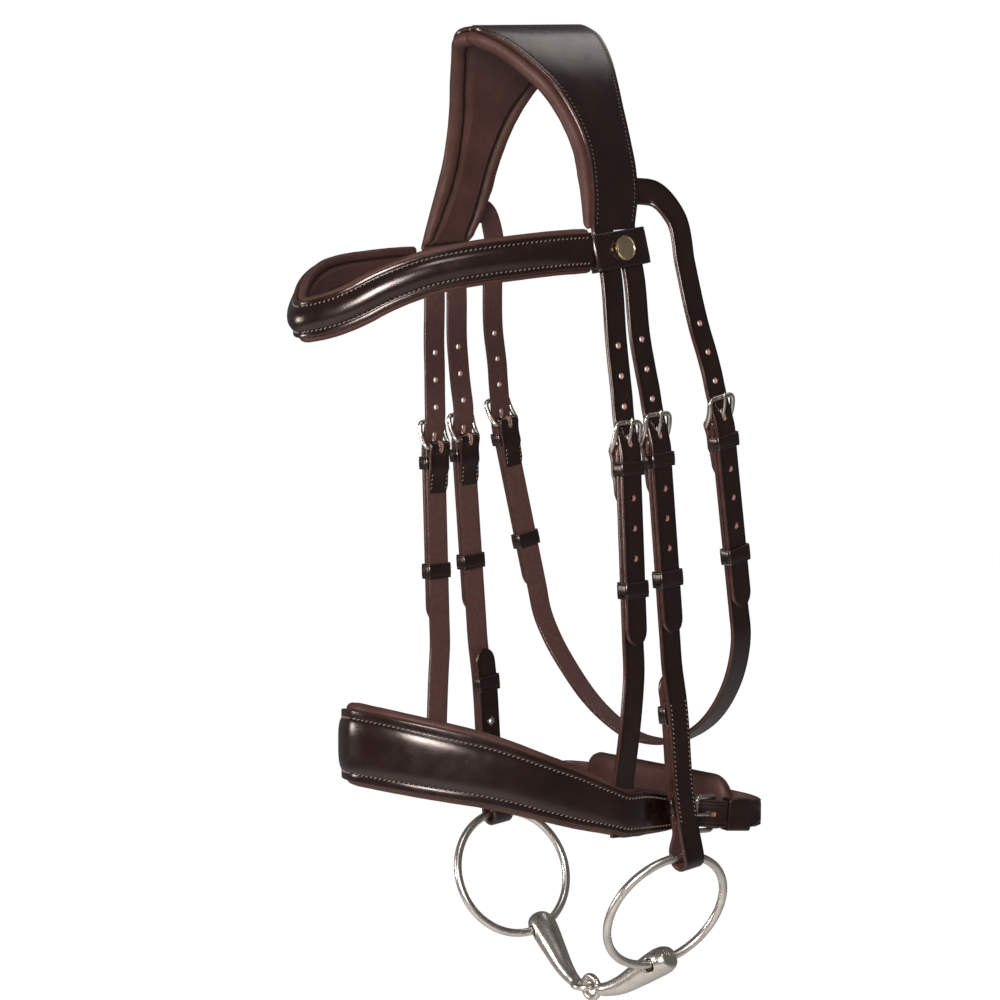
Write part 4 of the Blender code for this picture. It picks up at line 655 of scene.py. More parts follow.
arc = np.linspace(0.0015, CROWN.length - 0.0015, 221)
front, rear = crown_edges(arc)
mid, half = (front + rear) / 2, (rear - front) / 2
end = np.minimum(arc, CROWN.length - arc)
fill = np.clip(0.55 + end / CROWN.length * 4, 0, 1)
close = smooth(end, (0.0015, 0.004, 0.009, 0.03), (0.55, 0.9, 1, 1))
pucker = 1 + 0.012 * np.sin(arc * 2 * math.pi / 0.017) * np.sin(arc * 2 * math.pi / 0.041 + 1)
top = np.full_like(arc, -LEATHER - GAP)
roll = CROWN_ROLL * fill * close * pucker
pad = CROWN_PAD * fill * close
side_rows = [(top, half - roll * 1.2), (top - roll * 0.02, half - roll * 0.2),
             (top - roll * 0.12, half + roll * 0.45), (top - roll * 0.55, half + roll * 0.86),
             (top - roll * 1.1, half + roll * 0.93), (top - roll * 1.62, half + roll * 0.6),
             (top - roll * 1.9, half), (top - roll * 1.82, half - roll * 0.62),
             (top - roll * 1.35, half - roll * 1.15), (top - pad * 0.78, half - roll * 1.55),
             (top - pad * 0.97, half - roll * 2.3), (top - pad * 1.0, half * 0.45)]
right = [columns(*pair) for pair in side_rows]
left = [columns(pair[0], -pair[1]) for pair in side_rows[::-1]]
control = np.stack(right + left, axis=1)
n, w = rounded(control, 120)
# Painted shade along the seam in the tuck under each roll.
deep = np.exp(-((np.abs(w) - (half - roll * 1.17)[:, None]) / 0.0011) ** 2) * (n < (top - roll)[:, None])
lining = skin("crown_lining", CROWN.grid(arc, n, w + mid[:, None]), seam_shade_paint(deep))
finished(lining, SOFT_LEATHER, "tack", "lining_leather", "headpiece_lining")

# Straps with a buckle end: each is one strip, folded round the heel bar and sewn back behind itself.
# The hanger's lower end is sewn in behind the noseband, and the throatlatch has a buckle end each side.
KEEPER_BACK = LAYER_IN - GAP
KEEPER_FRONT = BILLET_OUT + GAP
FIXED_KEEPER_LENGTH = 0.0085
FIXED_KEEPER_PLACE = LAYER_OUT + 0.0005 + FIXED_KEEPER_LENGTH / 2 + GAP * 2
CHAPE = 0.029
CHAPE_N = -0.0001 - THIN / 2
STRAP_SEAM = STRAP / 2 - 0.0018
BAND_ROW, BAND_CREASE = 0.0016, 0.00026
SLOT_PLACE = -0.0025
TONGUE_SLOT = 0.0062, 0.0017, 0.0095  # half length, half width and half depth of the cutter


def folded_end(window, chape):
    """The centre line (s, n, thickness, half-width share) from the skived tip of the turned-back end,
    under the keeper and round the heel bar to the strap's face."""
    tip = np.array([(chape + 0.001, LAYER_IN - 0.0006, 0.0009, 0.80),
                    (chape - 0.001, LAYER_IN - 0.0008, 0.0012, 0.93),
                    (chape - 0.004, LAYER_IN - 0.0012, 0.0018, 1), (window + 0.0015, 0.0000, THIN, 1),
                    (window - 0.001, CHAPE_N, THIN, 1), (window * 0.7, CHAPE_N, THIN, 1),
                    (0.0065, CHAPE_N, THIN, 1), (0.0035, CHAPE_N - 0.0006, THIN, 1)])
    a = np.radians(np.linspace(262, 90, 15))
    thick = np.linspace(THIN, LEATHER, 15)
    radius = LAYER_IN + thick / 2
    turn = columns(radius * np.cos(a), radius * np.sin(a), thick, 1)
    return np.concatenate([tip, turn])


def band(name, route, heel, line, half, off=False, downwards=True):
    """A strip along a folded centre line (s, n, thickness, width share), with its grain side outwards all
    round. The line runs downwards on the strap's face, or upwards."""
    s, n, thick, share = line.T
    centre = route.place(heel + s, n, 0 * s)
    across = route.frame(heel + s)[3]
    step = distance_along(centre)
    ahead = unit(np.gradient(centre, step, axis=0))
    up = unit(np.cross(across, ahead)) * (-1 if downwards else 1)
    pn, pw, paint = strap_profile(half * share, -thick / 2, thick / 2, row=BAND_ROW, depth=BAND_CREASE)
    grid = centre[:, None] + pn[..., None] * up[:, None] + pw[..., None] * across[:, None]
    return skin(name, grid, paint, off=off)


def tongue_slot(route, heel, off):
    """The cutter for the slot that the tongue passes through at the heel bar."""
    return punch(*route.frame(heel + np.array([SLOT_PLACE])), *TONGUE_SLOT, off)


def straight_run(start, end, step=0.0035):
    """The strap's face from one place to another as a centre line."""
    s = np.linspace(start, end, max(2, int(abs(end - start) / step)))
    return columns(s, LAYER_IN + LEATHER / 2, LEATHER, 1)


def two_ended(route, heel, window, chape, step):
    """The centre line of a strap with a buckle end at each side."""
    span = route.length - 2 * heel
    near_end = folded_end(window, chape)
    far_end = near_end[::-1].copy()
    far_end[:, 0] = span - far_end[:, 0]
    return np.concatenate([near_end, straight_run(0.002, span - 0.002, step), far_end])


WINDOW = FIXED_KEEPER_PLACE + FIXED_KEEPER_LENGTH / 2 + 0.0005
hanger_heel = SITES["noseband"][1]
line = np.concatenate([folded_end(WINDOW, CHAPE), straight_run(0.002, A_ROUTE.length - hanger_heel)])
for side, off in SIDES:
    hanger = band(f"noseband_strap_{side}", A_ROUTE, hanger_heel, line, STRAP / 2, off=off)
    cut_out(hanger, [tongue_slot(A_ROUTE, hanger_heel, off)])
    finished(hanger, BRIDLE_LEATHER, "tack", "outer_leather", f"noseband_hanger_{side}")

throat_heel = SITES["throat"][1]
line = two_ended(T_ROUTE, throat_heel, WINDOW, CHAPE, 0.0045)
throat = band("throat_strap", T_ROUTE, throat_heel, line, STRAP / 2)
cut_out(throat, [tongue_slot(T_ROUTE, throat_heel, off) for off in (False, True)])
finished(throat, BRIDLE_LEATHER, "tack", "outer_leather", "throatlatch")


def chape_rows(route, heel):
    """Stitch rows along both edges of a turned-back end, on the side towards the head."""
    s = np.linspace(WINDOW + 0.002, CHAPE - 0.001, 30)
    depth = smooth(s, (WINDOW, WINDOW + 0.004, CHAPE), (CHAPE_N - THIN / 2, -0.0013, 0.0006))
    inward = -route.frame(heel + s)[2]
    return [stitch_row(route.place(heel + s, depth, sign * STRAP_SEAM), inward) for sign in (1, -1)]


sewn("chape_stitches", [row for route, heel in SITES.values() for row in chape_rows(route, heel)], "tack")

# Cheekpieces: a strip turned round the bit ring and brought back up inside to hook on a stud, with a
# backing strip sewn behind it between the ring and the upper loop.
BIT_PLACE = np.array([0.910, 0.590, -0.9984]) * SIZE
cheek_heel = SITES["cheek"][1]
loop_at = B_ROUTE.where(BIT_PLACE) - cheek_heel
LOOP_RADIUS = 0.0049
RING_WIRE = 0.00265
loop_n = LAYER_IN - LOOP_RADIUS
loop_s = loop_at + RING_WIRE + 0.0027 - LOOP_RADIUS
BACKING_BACK = LAYER_IN - GAP - LEATHER
TAIL_FRONT = BACKING_BACK - GAP
TAIL_N = TAIL_FRONT - THIN / 2
TAIL_TIP = DROP * 0.283
UPPER_KEEPER, LOWER_KEEPER, STUD_PLACE = DROP * 0.331, DROP * 0.4445, DROP * 0.383
BACKING_START = UPPER_KEEPER - STRAP * 0.55
BACKING_END = loop_s - DROP * 0.046

a = np.radians(np.linspace(-78, 90, 19))
radius = LOOP_RADIUS + LEATHER / 2
turn = columns(loop_s + radius * np.cos(a), loop_n + radius * np.sin(a), LEATHER, 1)
tip = columns(TAIL_TIP + TIP_LENGTH * (1 - TIP[::-1, 0]), TAIL_N, THIN, TIP[::-1, 1])
tail = columns(np.linspace(TAIL_TIP + TIP_LENGTH + 0.003, BACKING_END, 30), TAIL_N, THIN, 1)
neck_s = np.linspace(BACKING_END + 0.002, loop_s - 0.001, 12)
neck_n = smooth(neck_s, (BACKING_END, BACKING_END + 0.006, loop_s - 0.006, loop_s + 0.001),
                (TAIL_N, TAIL_N - 0.0004, loop_n - radius * 0.93, loop_n - radius))
neck = columns(neck_s, neck_n, np.linspace(THIN, LEATHER, 12), 1)
face = straight_run(loop_s - 0.002, 0.002)
heel_end = folded_end(WINDOW, CHAPE)[::-1]
line = np.concatenate([tip, tail, neck, turn, face, heel_end])
STUD_SLOT = 0.0034, 0.0017, 0.002  # half length, half width and half depth of the cutter
stud_at = B_ROUTE.frame(np.array([cheek_heel + STUD_PLACE]))
for side, off in SIDES:
    cheek = band(f"cheek_strap_{side}", B_ROUTE, cheek_heel, line, STRAP / 2, off=off, downwards=False)
    p, t, n, w = stud_at
    stud_hole = punch(p + n * TAIL_N, t, n, w, *STUD_SLOT, off)
    cut_out(cheek, [tongue_slot(B_ROUTE, cheek_heel, off), stud_hole])
    finished(cheek, BRIDLE_LEATHER, "tack", "outer_leather", f"cheekpiece_{side}")
    s = np.linspace(BACKING_START, BACKING_END, 30)
    n, w, paint = strap_profile(0 * s + STRAP / 2, BACKING_BACK, LAYER_IN - GAP * 0.5, round_over=0.0005)
    notch = np.maximum(*[np.exp(-((s - place) / 0.0062) ** 8)
                         for place in (UPPER_KEEPER, LOWER_KEEPER)])[:, None]
    n = n - notch * (n > BACKING_BACK + LEATHER / 2) * 0.0015
    backing = skin(f"cheek_backing_strip_{side}", B_ROUTE.grid(cheek_heel + s, n, w), paint, off=off)
    finished(backing, BRIDLE_LEATHER, "tack", "outer_leather", f"cheek_backing_{side}")
s = np.linspace(BACKING_START + 0.001, BACKING_END - 0.001, 200)
out = B_ROUTE.frame(cheek_heel + s)[2]
sewn("cheek_stitches", [stitch_row(B_ROUTE.place(cheek_heel + s, LAYER_OUT - 0.00012, sign * STRAP_SEAM),
                                   out) for sign in (1, -1)]
     + [stitch_row(B_ROUTE.place(cheek_heel + s, BACKING_BACK, sign * STRAP_SEAM), -out)
        for sign in (1, -1)], "tack")

# Keepers: strips of thinner leather bent to a box round the straps, creased along both edges and
# butted behind. The fixed ones are sewn in under the buckles and the runners slide.
KEEPER_LEATHER, KEEPER_BEND = 0.0014, 0.0006
CHEEK_LOOP_LENGTH, CHEEK_LOOP_BEND = 0.0105, 0.0007


def rounded_box(centres, bend, straight):
    """A rounded box in two axes, as place and outward direction: a quarter turn of radius bend round each
    corner's centre, and even steps of the line between them."""
    a = np.linspace(0, math.pi / 2, 9)
    corners = []
    for i, (x, y) in enumerate(centres):
        out_x, out_y = np.cos(a + i * math.pi / 2), np.sin(a + i * math.pi / 2)
        corners.append(columns(x + bend * out_x, y + bend * out_y, out_x, out_y))
    share = np.linspace(0, 1, straight)[1:-1, None]
    line = []
    for first, second in zip(corners, corners[1:] + corners[:1]):
        line += [first, first[-1] * (1 - share) + second[0] * share]
    return np.concatenate(line)


def hoop(name, route, middle, length, half, back, front, thick, bend, off=False, crease=0.0011):
    """A band round a strap: a rounded box in (w, n), thickened outwards by a creased, round-edged profile
    along s."""
    ring = rounded_box(((half - bend, front - bend), (bend - half, front - bend), (bend - half, back + bend),
                        (half - bend, back + bend)), bend, 8)
    r = thick * 0.42
    h = length / 2
    q = np.radians([0, 30, 60, 90])
    run = np.concatenate([[0, h - crease - 0.0006, h - crease, h - crease + 0.0005], h - r + r * np.sin(q),
                          [h, h - 0.0002, 0]])
    rise = np.concatenate([[thick, thick, thick - 0.00034, thick], thick - r + r * np.cos(q),
                           [0.0003, 0, 0]])
    red = np.array([0, 0, 0, 0, 0, 0, 0.15, 0.35, 0.3, 0, 0])
    # blue is painted shade in the creases near both edges
    blue = np.array([0, 0.3, 0.8, 0.3, 0, 0, 0, 0, 0, 0, 0])
    run = np.concatenate([run, -run[-2:0:-1]])
    rise = np.concatenate([rise, rise[-2:0:-1]])
    red, blue = (np.concatenate([v, v[-2:0:-1]]) for v in (red, blue))
    cw = ring[:, None, 0] + rise[None] * ring[:, None, 2]
    cn = ring[:, None, 1] + rise[None] * ring[:, None, 3]
    p, t, n, w = (v[0] for v in route.frame(np.array([middle])))
    grid = p + cw[..., None] * w + cn[..., None] * n + (run * np.ones_like(cw))[..., None] * t
    paint = np.zeros((*cw.shape, 3))
    paint[..., 0] = red
    paint[..., 2] = blue
    return skin(name, grid, paint, ring=True, off=off)


RUNNER_PLACE, RUNNER_LENGTH = 0.082, 0.010
keeper_half = STRAP / 2 + GAP
for side, off in SIDES:
    for label, (route, heel) in SITES.items():
        fixed = hoop(f"{label}_fixed_loop_{side}", route, heel + FIXED_KEEPER_PLACE, FIXED_KEEPER_LENGTH,
                     keeper_half, KEEPER_BACK, KEEPER_FRONT, KEEPER_LEATHER, KEEPER_BEND, off)
        finished(fixed, BRIDLE_LEATHER, "tack", "outer_leather", f"{label}_fixed_keeper_{side}")
        runner = hoop(f"{label}_runner_loop_{side}", route, heel + RUNNER_PLACE, RUNNER_LENGTH, keeper_half,
                      KEEPER_BACK, KEEPER_FRONT, KEEPER_LEATHER, KEEPER_BEND, off)
        finished(runner, BRIDLE_LEATHER, f"{label}_runner_{side}", "outer_leather",
                 f"{label}_runner_keeper_{side}")
    for label, place in (("upper", UPPER_KEEPER), ("lower", LOWER_KEEPER)):
        loop = hoop(f"cheek_{label}_loop_{side}", B_ROUTE, cheek_heel + place, CHEEK_LOOP_LENGTH,
                    keeper_half, TAIL_N - THIN / 2 - GAP, LAYER_IN - GAP - KEEPER_LEATHER, KEEPER_LEATHER,
                    CHEEK_LOOP_BEND, off)
        finished(loop, BRIDLE_LEATHER, "tack", "outer_leather", f"cheek_keeper_{label}_{side}")


# Buckles: stainless wire bent to a bowed frame, with a tongue curled round the heel bar and resting
# over the toe bar through the slot in the billet.
def metal(name, colour, roughness, scratch, worn):
    """A polished metal: its tone and gloss drift softly, with fine rubbing marks."""
    look = Finish(name)
    look.shader["Metallic"].default_value = 1
    look.feed(look.shader["Base Color"], look.blend(look.span(look.noise(120, 6), 0.42, 0.75), colour, worn))
    rub = look.noise(900)
    look.feed(look.shader["Roughness"], look.span(rub, 0, 1, roughness * 0.85, roughness * 1.25))
    return look.relief(rub, scratch, 0.0002)


STEEL = metal("stainless steel", (0.70, 0.64, 0.57), 0.26, 0.03, (0.50, 0.45, 0.39))
FRAME_ROOM, FRAME_BOW = 0.00035, 0.0016
TONGUE_WIDE, TONGUE_DEEP = 0.0012, 0.00105


def wire(name, points, radius_in, radius_out, up, off=False, ring=True, count=14):
    """A wire of oval section along a closed or open line: one radius in the line's plane, one along up."""
    nxt, last = np.roll(points, -1, axis=0), np.roll(points, 1, axis=0)
    ahead = unit(nxt - last) if ring else unit(np.gradient(points, axis=0))
    side = unit(np.cross(up, ahead))
    top = np.cross(ahead, side)
    a = around(count)
    grid = (points[:, None] + np.cos(a)[None, :, None] * side[:, None] * np.reshape(radius_in, (-1, 1, 1))
            + np.sin(a)[None, :, None] * top[:, None] * np.reshape(radius_out, (-1, 1, 1)))
    return skin(name, grid, ring=ring, off=off, sharp=80)


def buckle(label, route, heel, strap_half, side, off):
    """A frame whose line is a rounded box, bowed outwards by a half sine between its bars, and a tongue."""
    p, t, n, w = (v[0] for v in route.frame(np.array([heel])))
    x = strap_half + FRAME_ROOM + BAR
    bend = BAR * 1.9
    full = rounded_box(((-bend, x - bend), (bend - PITCH, x - bend), (bend - PITCH, bend - x),
                        (-bend, bend - x)), bend, 10)
    go = np.clip(-full[:, 0] / PITCH, 0, 1)
    rise = TOE_RISE * go + FRAME_BOW * np.sin(go * math.pi)
    points = p + full[:, :1] * t + full[:, 1:2] * w + rise[:, None] * n
    toe = np.clip((go - 0.86) / 0.1, 0, 1)
    frame_piece = wire(f"{label}_frame_{side}", points, BAR * (1 - 0.04 * toe), BAR,
                       np.broadcast_to(n, points.shape), off)
    rest = TOE_RISE + BAR + GAP * 1.5 + 0.0011
    u = np.linspace(0, 1, 16)
    s = -0.0014 - u * (PITCH + 0.0016)
    h = LAYER_IN + 0.0009 + (rest - LAYER_IN - 0.0009) * np.sin(np.clip(u * 1.06, 0, 1) * math.pi / 2) ** 0.8
    bar = p + s[:, None] * t + h[:, None] * n
    wide = TONGUE_WIDE * (1 - 0.35 * u**2) * np.where(u > 0.96, 0.6, 1)
    deep = TONGUE_DEEP * (1 - 0.25 * u**2) * np.where(u > 0.96, 0.6, 1)
    tongue_bar = wire(f"{label}_tongue_{side}", bar, wide, deep, np.broadcast_to(n, bar.shape), off,
                      ring=False)
    a = np.radians(np.linspace(20, 330, 20))
    curl = p + (LAYER_IN + 0.0006) * (-np.cos(a)[:, None] * t + np.sin(a)[:, None] * n)
    eye = wire(f"{label}_tongue_eye_{side}", curl, 0.0009, 0.0012, np.broadcast_to(w, curl.shape), off,
               ring=False)
    finished(frame_piece, STEEL, "tack", "steel", f"{label}_buckle_frame_{side}")
    for piece in (tongue_bar, eye):
        finished(piece, STEEL, f"{label}_tongue_{side}", "steel", f"{label}_buckle_tongue_{side}")


for side, off in SIDES:
    for label, (route, heel) in SITES.items():
        buckle(label, route, heel, STRAP / 2, side, off)
    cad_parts[f"hook_stud_{side}"].data.materials.clear()
    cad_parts[f"hook_stud_{side}"].data.materials.append(STEEL)

# Browband: polished leather raised over a cord of padding, sewn to a rolled soft lining, with a loop
# of leather at each end that the two front billets pass through.
BROW_HALF, BROW_REACH, BROW_START, BROW_POWER = 0.0872, 0.1464, -0.0190, 1.61
BROW_DROPS = np.array([(0, 0.2655), (0.14, 0.2695), (0.34, 0.2775), (0.49, 0.2845), (0.68, 0.2985),
                       (0.82, 0.3185), (0.91, 0.3365), (0.98, 0.3465), (1, 0.3485)])


def band_points(half, reach, start, power, drops, count):
    """Points of a band round the front of the head: a superellipse in plan, at a tabled drop."""
    i = np.arange(-count, count + 1)
    a = (1 - np.abs(i) / count) * math.pi / 2
    x = half * np.abs(np.cos(a)) ** (2 / power) * np.sign(i)
    forward = reach * np.abs(np.sin(a)) ** (2 / power)
    x[count] = 0
    z = -smooth(forward / reach, drops[:, 0], drops[:, 1]) * DROP
    return np.stack([x, start - forward, z], axis=-1)


BROW = Route(band_points(BROW_HALF, BROW_REACH, BROW_START, BROW_POWER, BROW_DROPS, 14), across=(0, 0, 1))


def raised_profile(half, rise, margin, flatness):
    """Points (n, w) round padded leather: a flat back, painted walls, a flat sewn margin with its crease,
    and a middle raised by rise times one minus a power of the place across."""
    half, rise = (np.asarray(v, float).reshape(-1, 1) for v in np.broadcast_arrays(half, rise))
    margin = np.minimum(margin, half * 0.45)
    u = np.array([0, 0.15, 0.3, 0.45, 0.58, 0.7, 0.8, 0.88, 0.94, 0.98, 1.0])
    inner = half - margin - 0.0006
    mid_w = inner * u
    mid_n = rise * (1 - u**flatness) ** 0.75 + 0 * mid_w
    row_w = np.concatenate([half - margin - 0.0001, half - margin + 0.0004, half - margin + 0.0010,
                            half - margin * 0.55], axis=1)
    row_n = np.array([[-0.00035, -0.00020, 0, 0]]) + 0 * row_w
    turn = np.radians([0, 22, 45, 68, 90])
    r = 0.0009
    edge_w = half - r + r * np.sin(turn)
    edge_n = -r + r * np.cos(turn) + 0 * edge_w
    back_w = np.concatenate([half, half - 0.0004, half * 0.6, 0 * half], axis=1)
    back_n = np.array([[-LEATHER + 0.0005, -LEATHER, -LEATHER, -LEATHER]]) + 0 * back_w
    w = np.concatenate([mid_w, row_w, edge_w, back_w], axis=1)
    n = np.concatenate([mid_n, row_n, edge_n, back_n], axis=1)
    red = np.array([0] * 15 + [0, 0.2, 0.7, 1, 1] + [1, 0.5, 0, 0])
    green = np.array([0] * 21 + [0.5, 1, 1])
    # blue is painted shade in the crease and at the foot of the raised middle
    blue = np.array([0] * 9 + [0.35, 0.8, 1, 0.7, 0.2, 0] + [0] * 9)
    return mirrored(n, w, np.stack([red, green, blue], axis=-1))


def rolled_lining(half, thick, roll, top):
    """Points (n, w) round a band's soft lining: a roll of the given radius along each edge, standing past
    the leather, with a seam inside it and a full middle."""
    half, thick, roll = (np.broadcast_to(np.asarray(v, float), half.shape) for v in (half, thick, roll))
    low = top - thick
    side = [(top, half - roll * 1.4), (top - roll * 0.05, half - roll * 0.3),
            (top - roll * 0.05, half + roll * 0.3), (top - roll * 0.45, half + roll * 0.82),
            (top - roll * 1.05, half + roll * 0.95), (top - roll * 1.65, half + roll * 0.62),
            (top - roll * 1.95, half - roll * 0.1), (top - roll * 1.75, half - roll * 0.85),
            (np.minimum(top - roll * 1.45, top - thick * 0.62), half - roll * 1.35),
            (low + thick * 0.1, half - roll * 2.2), (low, half * 0.4)]
    side = [columns(n + 0 * half, w + 0 * half) for n, w in side]
    other = [q * np.array([1, -1]) for q in side[::-1]]
    n, w = rounded(np.stack(side + other, axis=1), 96)
    # Painted shade along the seam in the tuck under each roll.
    deep = np.exp(-((np.abs(w) - (half - roll * 1.3)[:, None]) / 0.0009) ** 2) * (n < (top - roll)[:, None])
    return n, w, seam_shade_paint(deep)


s = np.linspace(0, BROW.length, 241)
end = np.minimum(s, BROW.length - s)
ease = smooth(end, (0, 0.006, 0.03, 0.06), (0, 0.1, 0.8, 1))
BROW_EDGE, BROW_RISE, BROW_MARGIN, BROW_SEAM = 0.0105, 0.0035, 0.0029, 0.0074
n, w, paint = raised_profile(BROW_EDGE, BROW_RISE * ease, BROW_MARGIN, 2.2)
browband = skin("browband_face", BROW.grid(s, n, w), paint)
finished(browband, BRIDLE_LEATHER, "browband", "outer_leather", "browband_leather")
close = smooth(end, (0, 0.001, 0.004, 0.02), (0.7, 0.9, 0.97, 1))
pucker = 1 + 0.015 * np.sin(s * 2 * math.pi / 0.013) * np.sin(s * 2 * math.pi / 0.037)
n, w, paint = rolled_lining(BROW_EDGE + 0 * s, 0.0055 * close, 0.0026 * close * pucker, -LEATHER - GAP)
brow_lining = skin("browband_roll", BROW.grid(s, n, w), paint)
finished(brow_lining, SOFT_LEATHER, "browband", "lining_leather", "browband_lining")
half_s = np.linspace(BROW.length / 2 + 0.0014, BROW.length - 0.002, 400)
out = BROW.frame(half_s)[2]
sewn("browband_stitches", [stitch_row(BROW.place(half_s, -0.0001, sign * BROW_SEAM), out)
                           for sign in (1, -1)], "browband")

LOOP_DROP = DROP * 0.262
pair = []
for route in (A_ROUTE, B_ROUTE):
    nearest = np.argmin(np.abs(route.p[:, 2] + LOOP_DROP))
    pair.append([v[0] for v in route.frame(route.s[[nearest]])])
centre = (pair[0][0] + pair[1][0]) / 2
ahead = unit(pair[0][1] + pair[1][1])
LOOP = Route([centre - ahead * STRAP, centre, centre + ahead * STRAP], facing=sideways)
LOOP_LEATHER, LOOP_ROOM, LOOP_LENGTH, LOOP_BEND = 0.0024, 0.0008, 0.022, 0.0012
loop_half = np.linalg.norm(pair[1][0] - pair[0][0]) / 2 + STRAP / 2 + 0.0026
BUTTON_HEIGHT = 0.0028
GOLD = metal("gold plate", (0.83, 0.66, 0.43), 0.26, 0.05, (0.66, 0.50, 0.32))
p, t, n, w = (v[0] for v in LOOP.frame(np.array([LOOP.length / 2])))
face_n = LEATHER + LOOP_ROOM + LOOP_LEATHER
button_rows = np.array([(0.0, 1.0), (0.0035, 1.0), (0.0056, 0.985), (0.0059, 0.90), (0.0062, 0.90),
                        (0.0065, 1.04), (0.0070, 1.06), (0.0074, 0.85), (0.0075, 0.55), (0.0074, 0.25),
                        (0.0070, 0.0), (0.0, 0.0)])
a = around(56)
for side, off in SIDES:
    loop = hoop(f"browband_end_loop_{side}", LOOP, LOOP.length / 2, LOOP_LENGTH, loop_half, -LOOP_ROOM,
                LEATHER + LOOP_ROOM, LOOP_LEATHER, LOOP_BEND, off, crease=0.0016)
    finished(loop, BRIDLE_LEATHER, "browband", "outer_leather", f"browband_loop_{side}")
    r = np.maximum(button_rows[:, 0], 0.00002)
    h = face_n + GAP + button_rows[:, 1] * BUTTON_HEIGHT
    grid = (p + h[:, None, None] * n + (r[:, None] * np.cos(a))[..., None] * t
            + (r[:, None] * np.sin(a))[..., None] * w)
    button = skin(f"browband_stud_button_{side}", grid, off=off, sharp=40)
    finished(button, GOLD, "browband", "gold_button", f"browband_button_{side}")

# Jaw strap: a strip with a buckle end at each side that passes behind the jaw over a stuffed pad.
JAW_HALF = 0.0085
JAW_BILLET = 0.030
heel = np.array([0.835, 0.872, -0.9546]) * SIZE
along = unit(np.array([0.200, 0.974, -0.020]) * SIZE)
straight = JAW_BILLET * 0.85
jaw_half = [heel - along * PITCH * 2, heel - along * PITCH, heel, heel + along * straight * 0.8,
            heel + along * straight]
jaw_half += [np.array(q) * SIZE for q in ((0.890, 1.183, -0.960), (0.800, 1.213, -0.959),
                                          (0.670, 1.213, -0.958), (0.450, 1.195, -0.957),
                                          (0.220, 1.180, -0.956))]
JAW = Route(jaw_half + [np.array([0, 1.176, -0.956]) * SIZE] + [q * MIRROR for q in reversed(jaw_half)],
            across=(0, 0, 1))
JAW_HEEL = JAW.where(heel)
JAW_KEEPER = 0.017
JAW_WINDOW = FIXED_KEEPER_PLACE - FIXED_KEEPER_LENGTH / 2 + JAW_KEEPER + 0.0005
JAW_CHAPE = JAW_WINDOW + THIN * 2
line = two_ended(JAW, JAW_HEEL, JAW_WINDOW, JAW_CHAPE, 0.003)
jaw = band("jaw_band", JAW, JAW_HEEL, line, JAW_HALF)
cut_out(jaw, [tongue_slot(JAW, JAW_HEEL, off) for off in (False, True)])
finished(jaw, BRIDLE_LEATHER, "tack", "outer_leather", "jaw_strap")
for side, off in SIDES:
    loop = hoop(f"jaw_loop_{side}", JAW, JAW_HEEL + JAW_WINDOW - 0.0005 - JAW_KEEPER / 2, JAW_KEEPER,
                JAW_HALF + GAP, KEEPER_BACK, KEEPER_FRONT, KEEPER_LEATHER, KEEPER_BEND, off, crease=0.0014)
    finished(loop, BRIDLE_LEATHER, "tack", "outer_leather", f"jaw_keeper_{side}")
    buckle("jaw", JAW, JAW_HEEL, JAW_HALF, side, off)

# Jaw pad: soft leather over foam with round ends, sewn round its rim, held behind the jaw strap.
PAD_HALF, PAD_DEEP, PAD_END = 0.018, 0.0088, 0.016
pad_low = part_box("jaw_pad")
first = JAW.s[np.argmin(np.abs(JAW.p[:len(JAW.p) // 2, 0] - pad_low[1][0]))]
s = np.concatenate([np.linspace(first, first + PAD_END, 26)[:-1],
                    np.linspace(first + PAD_END, JAW.length - first - PAD_END, 90),
                    np.linspace(JAW.length - first - PAD_END, JAW.length - first, 26)[1:]])
end = np.minimum(s - first, JAW.length - first - s)
full = np.sqrt(np.clip(1 - (1 - np.clip(end / PAD_END, 0.02, 1)) ** 2.6, 0.004, 1))
h = PAD_HALF * full
deep = PAD_DEEP * np.clip(0.25 + 0.75 * full, 0, 1) * (1 + 0.02 * np.sin(s * 2 * math.pi / 0.021))
top = LAYER_IN - GAP
side_rows = [(0 * s + top, h * 0.55), (0 * s + top, h * 0.80), (top - deep * 0.06, h * 0.93),
             (top - deep * 0.22, h * 1.0), (top - deep * 0.42, h * 0.985), (top - deep * 0.50, h * 0.955),
             (top - deep * 0.60, h * 0.965), (top - deep * 0.84, h * 0.84), (top - deep * 0.98, h * 0.55),
             (top - deep, h * 0.2)]
right = [columns(n, w) for n, w in side_rows]
n, w = rounded(np.stack(right + [q * np.array([1, -1]) for q in right[::-1]], axis=1), 96)
# Painted shade in the groove of the rim seam.
rim = np.exp(-((n - (top - deep * 0.50)[:, None]) / 0.0005) ** 2) * (np.abs(w) > 0.9 * h[:, None])
pad = skin("jaw_cushion", JAW.grid(s, n, w), seam_shade_paint(rim))
finished(pad, SOFT_LEATHER, "tack", "lining_leather", "jaw_pad")

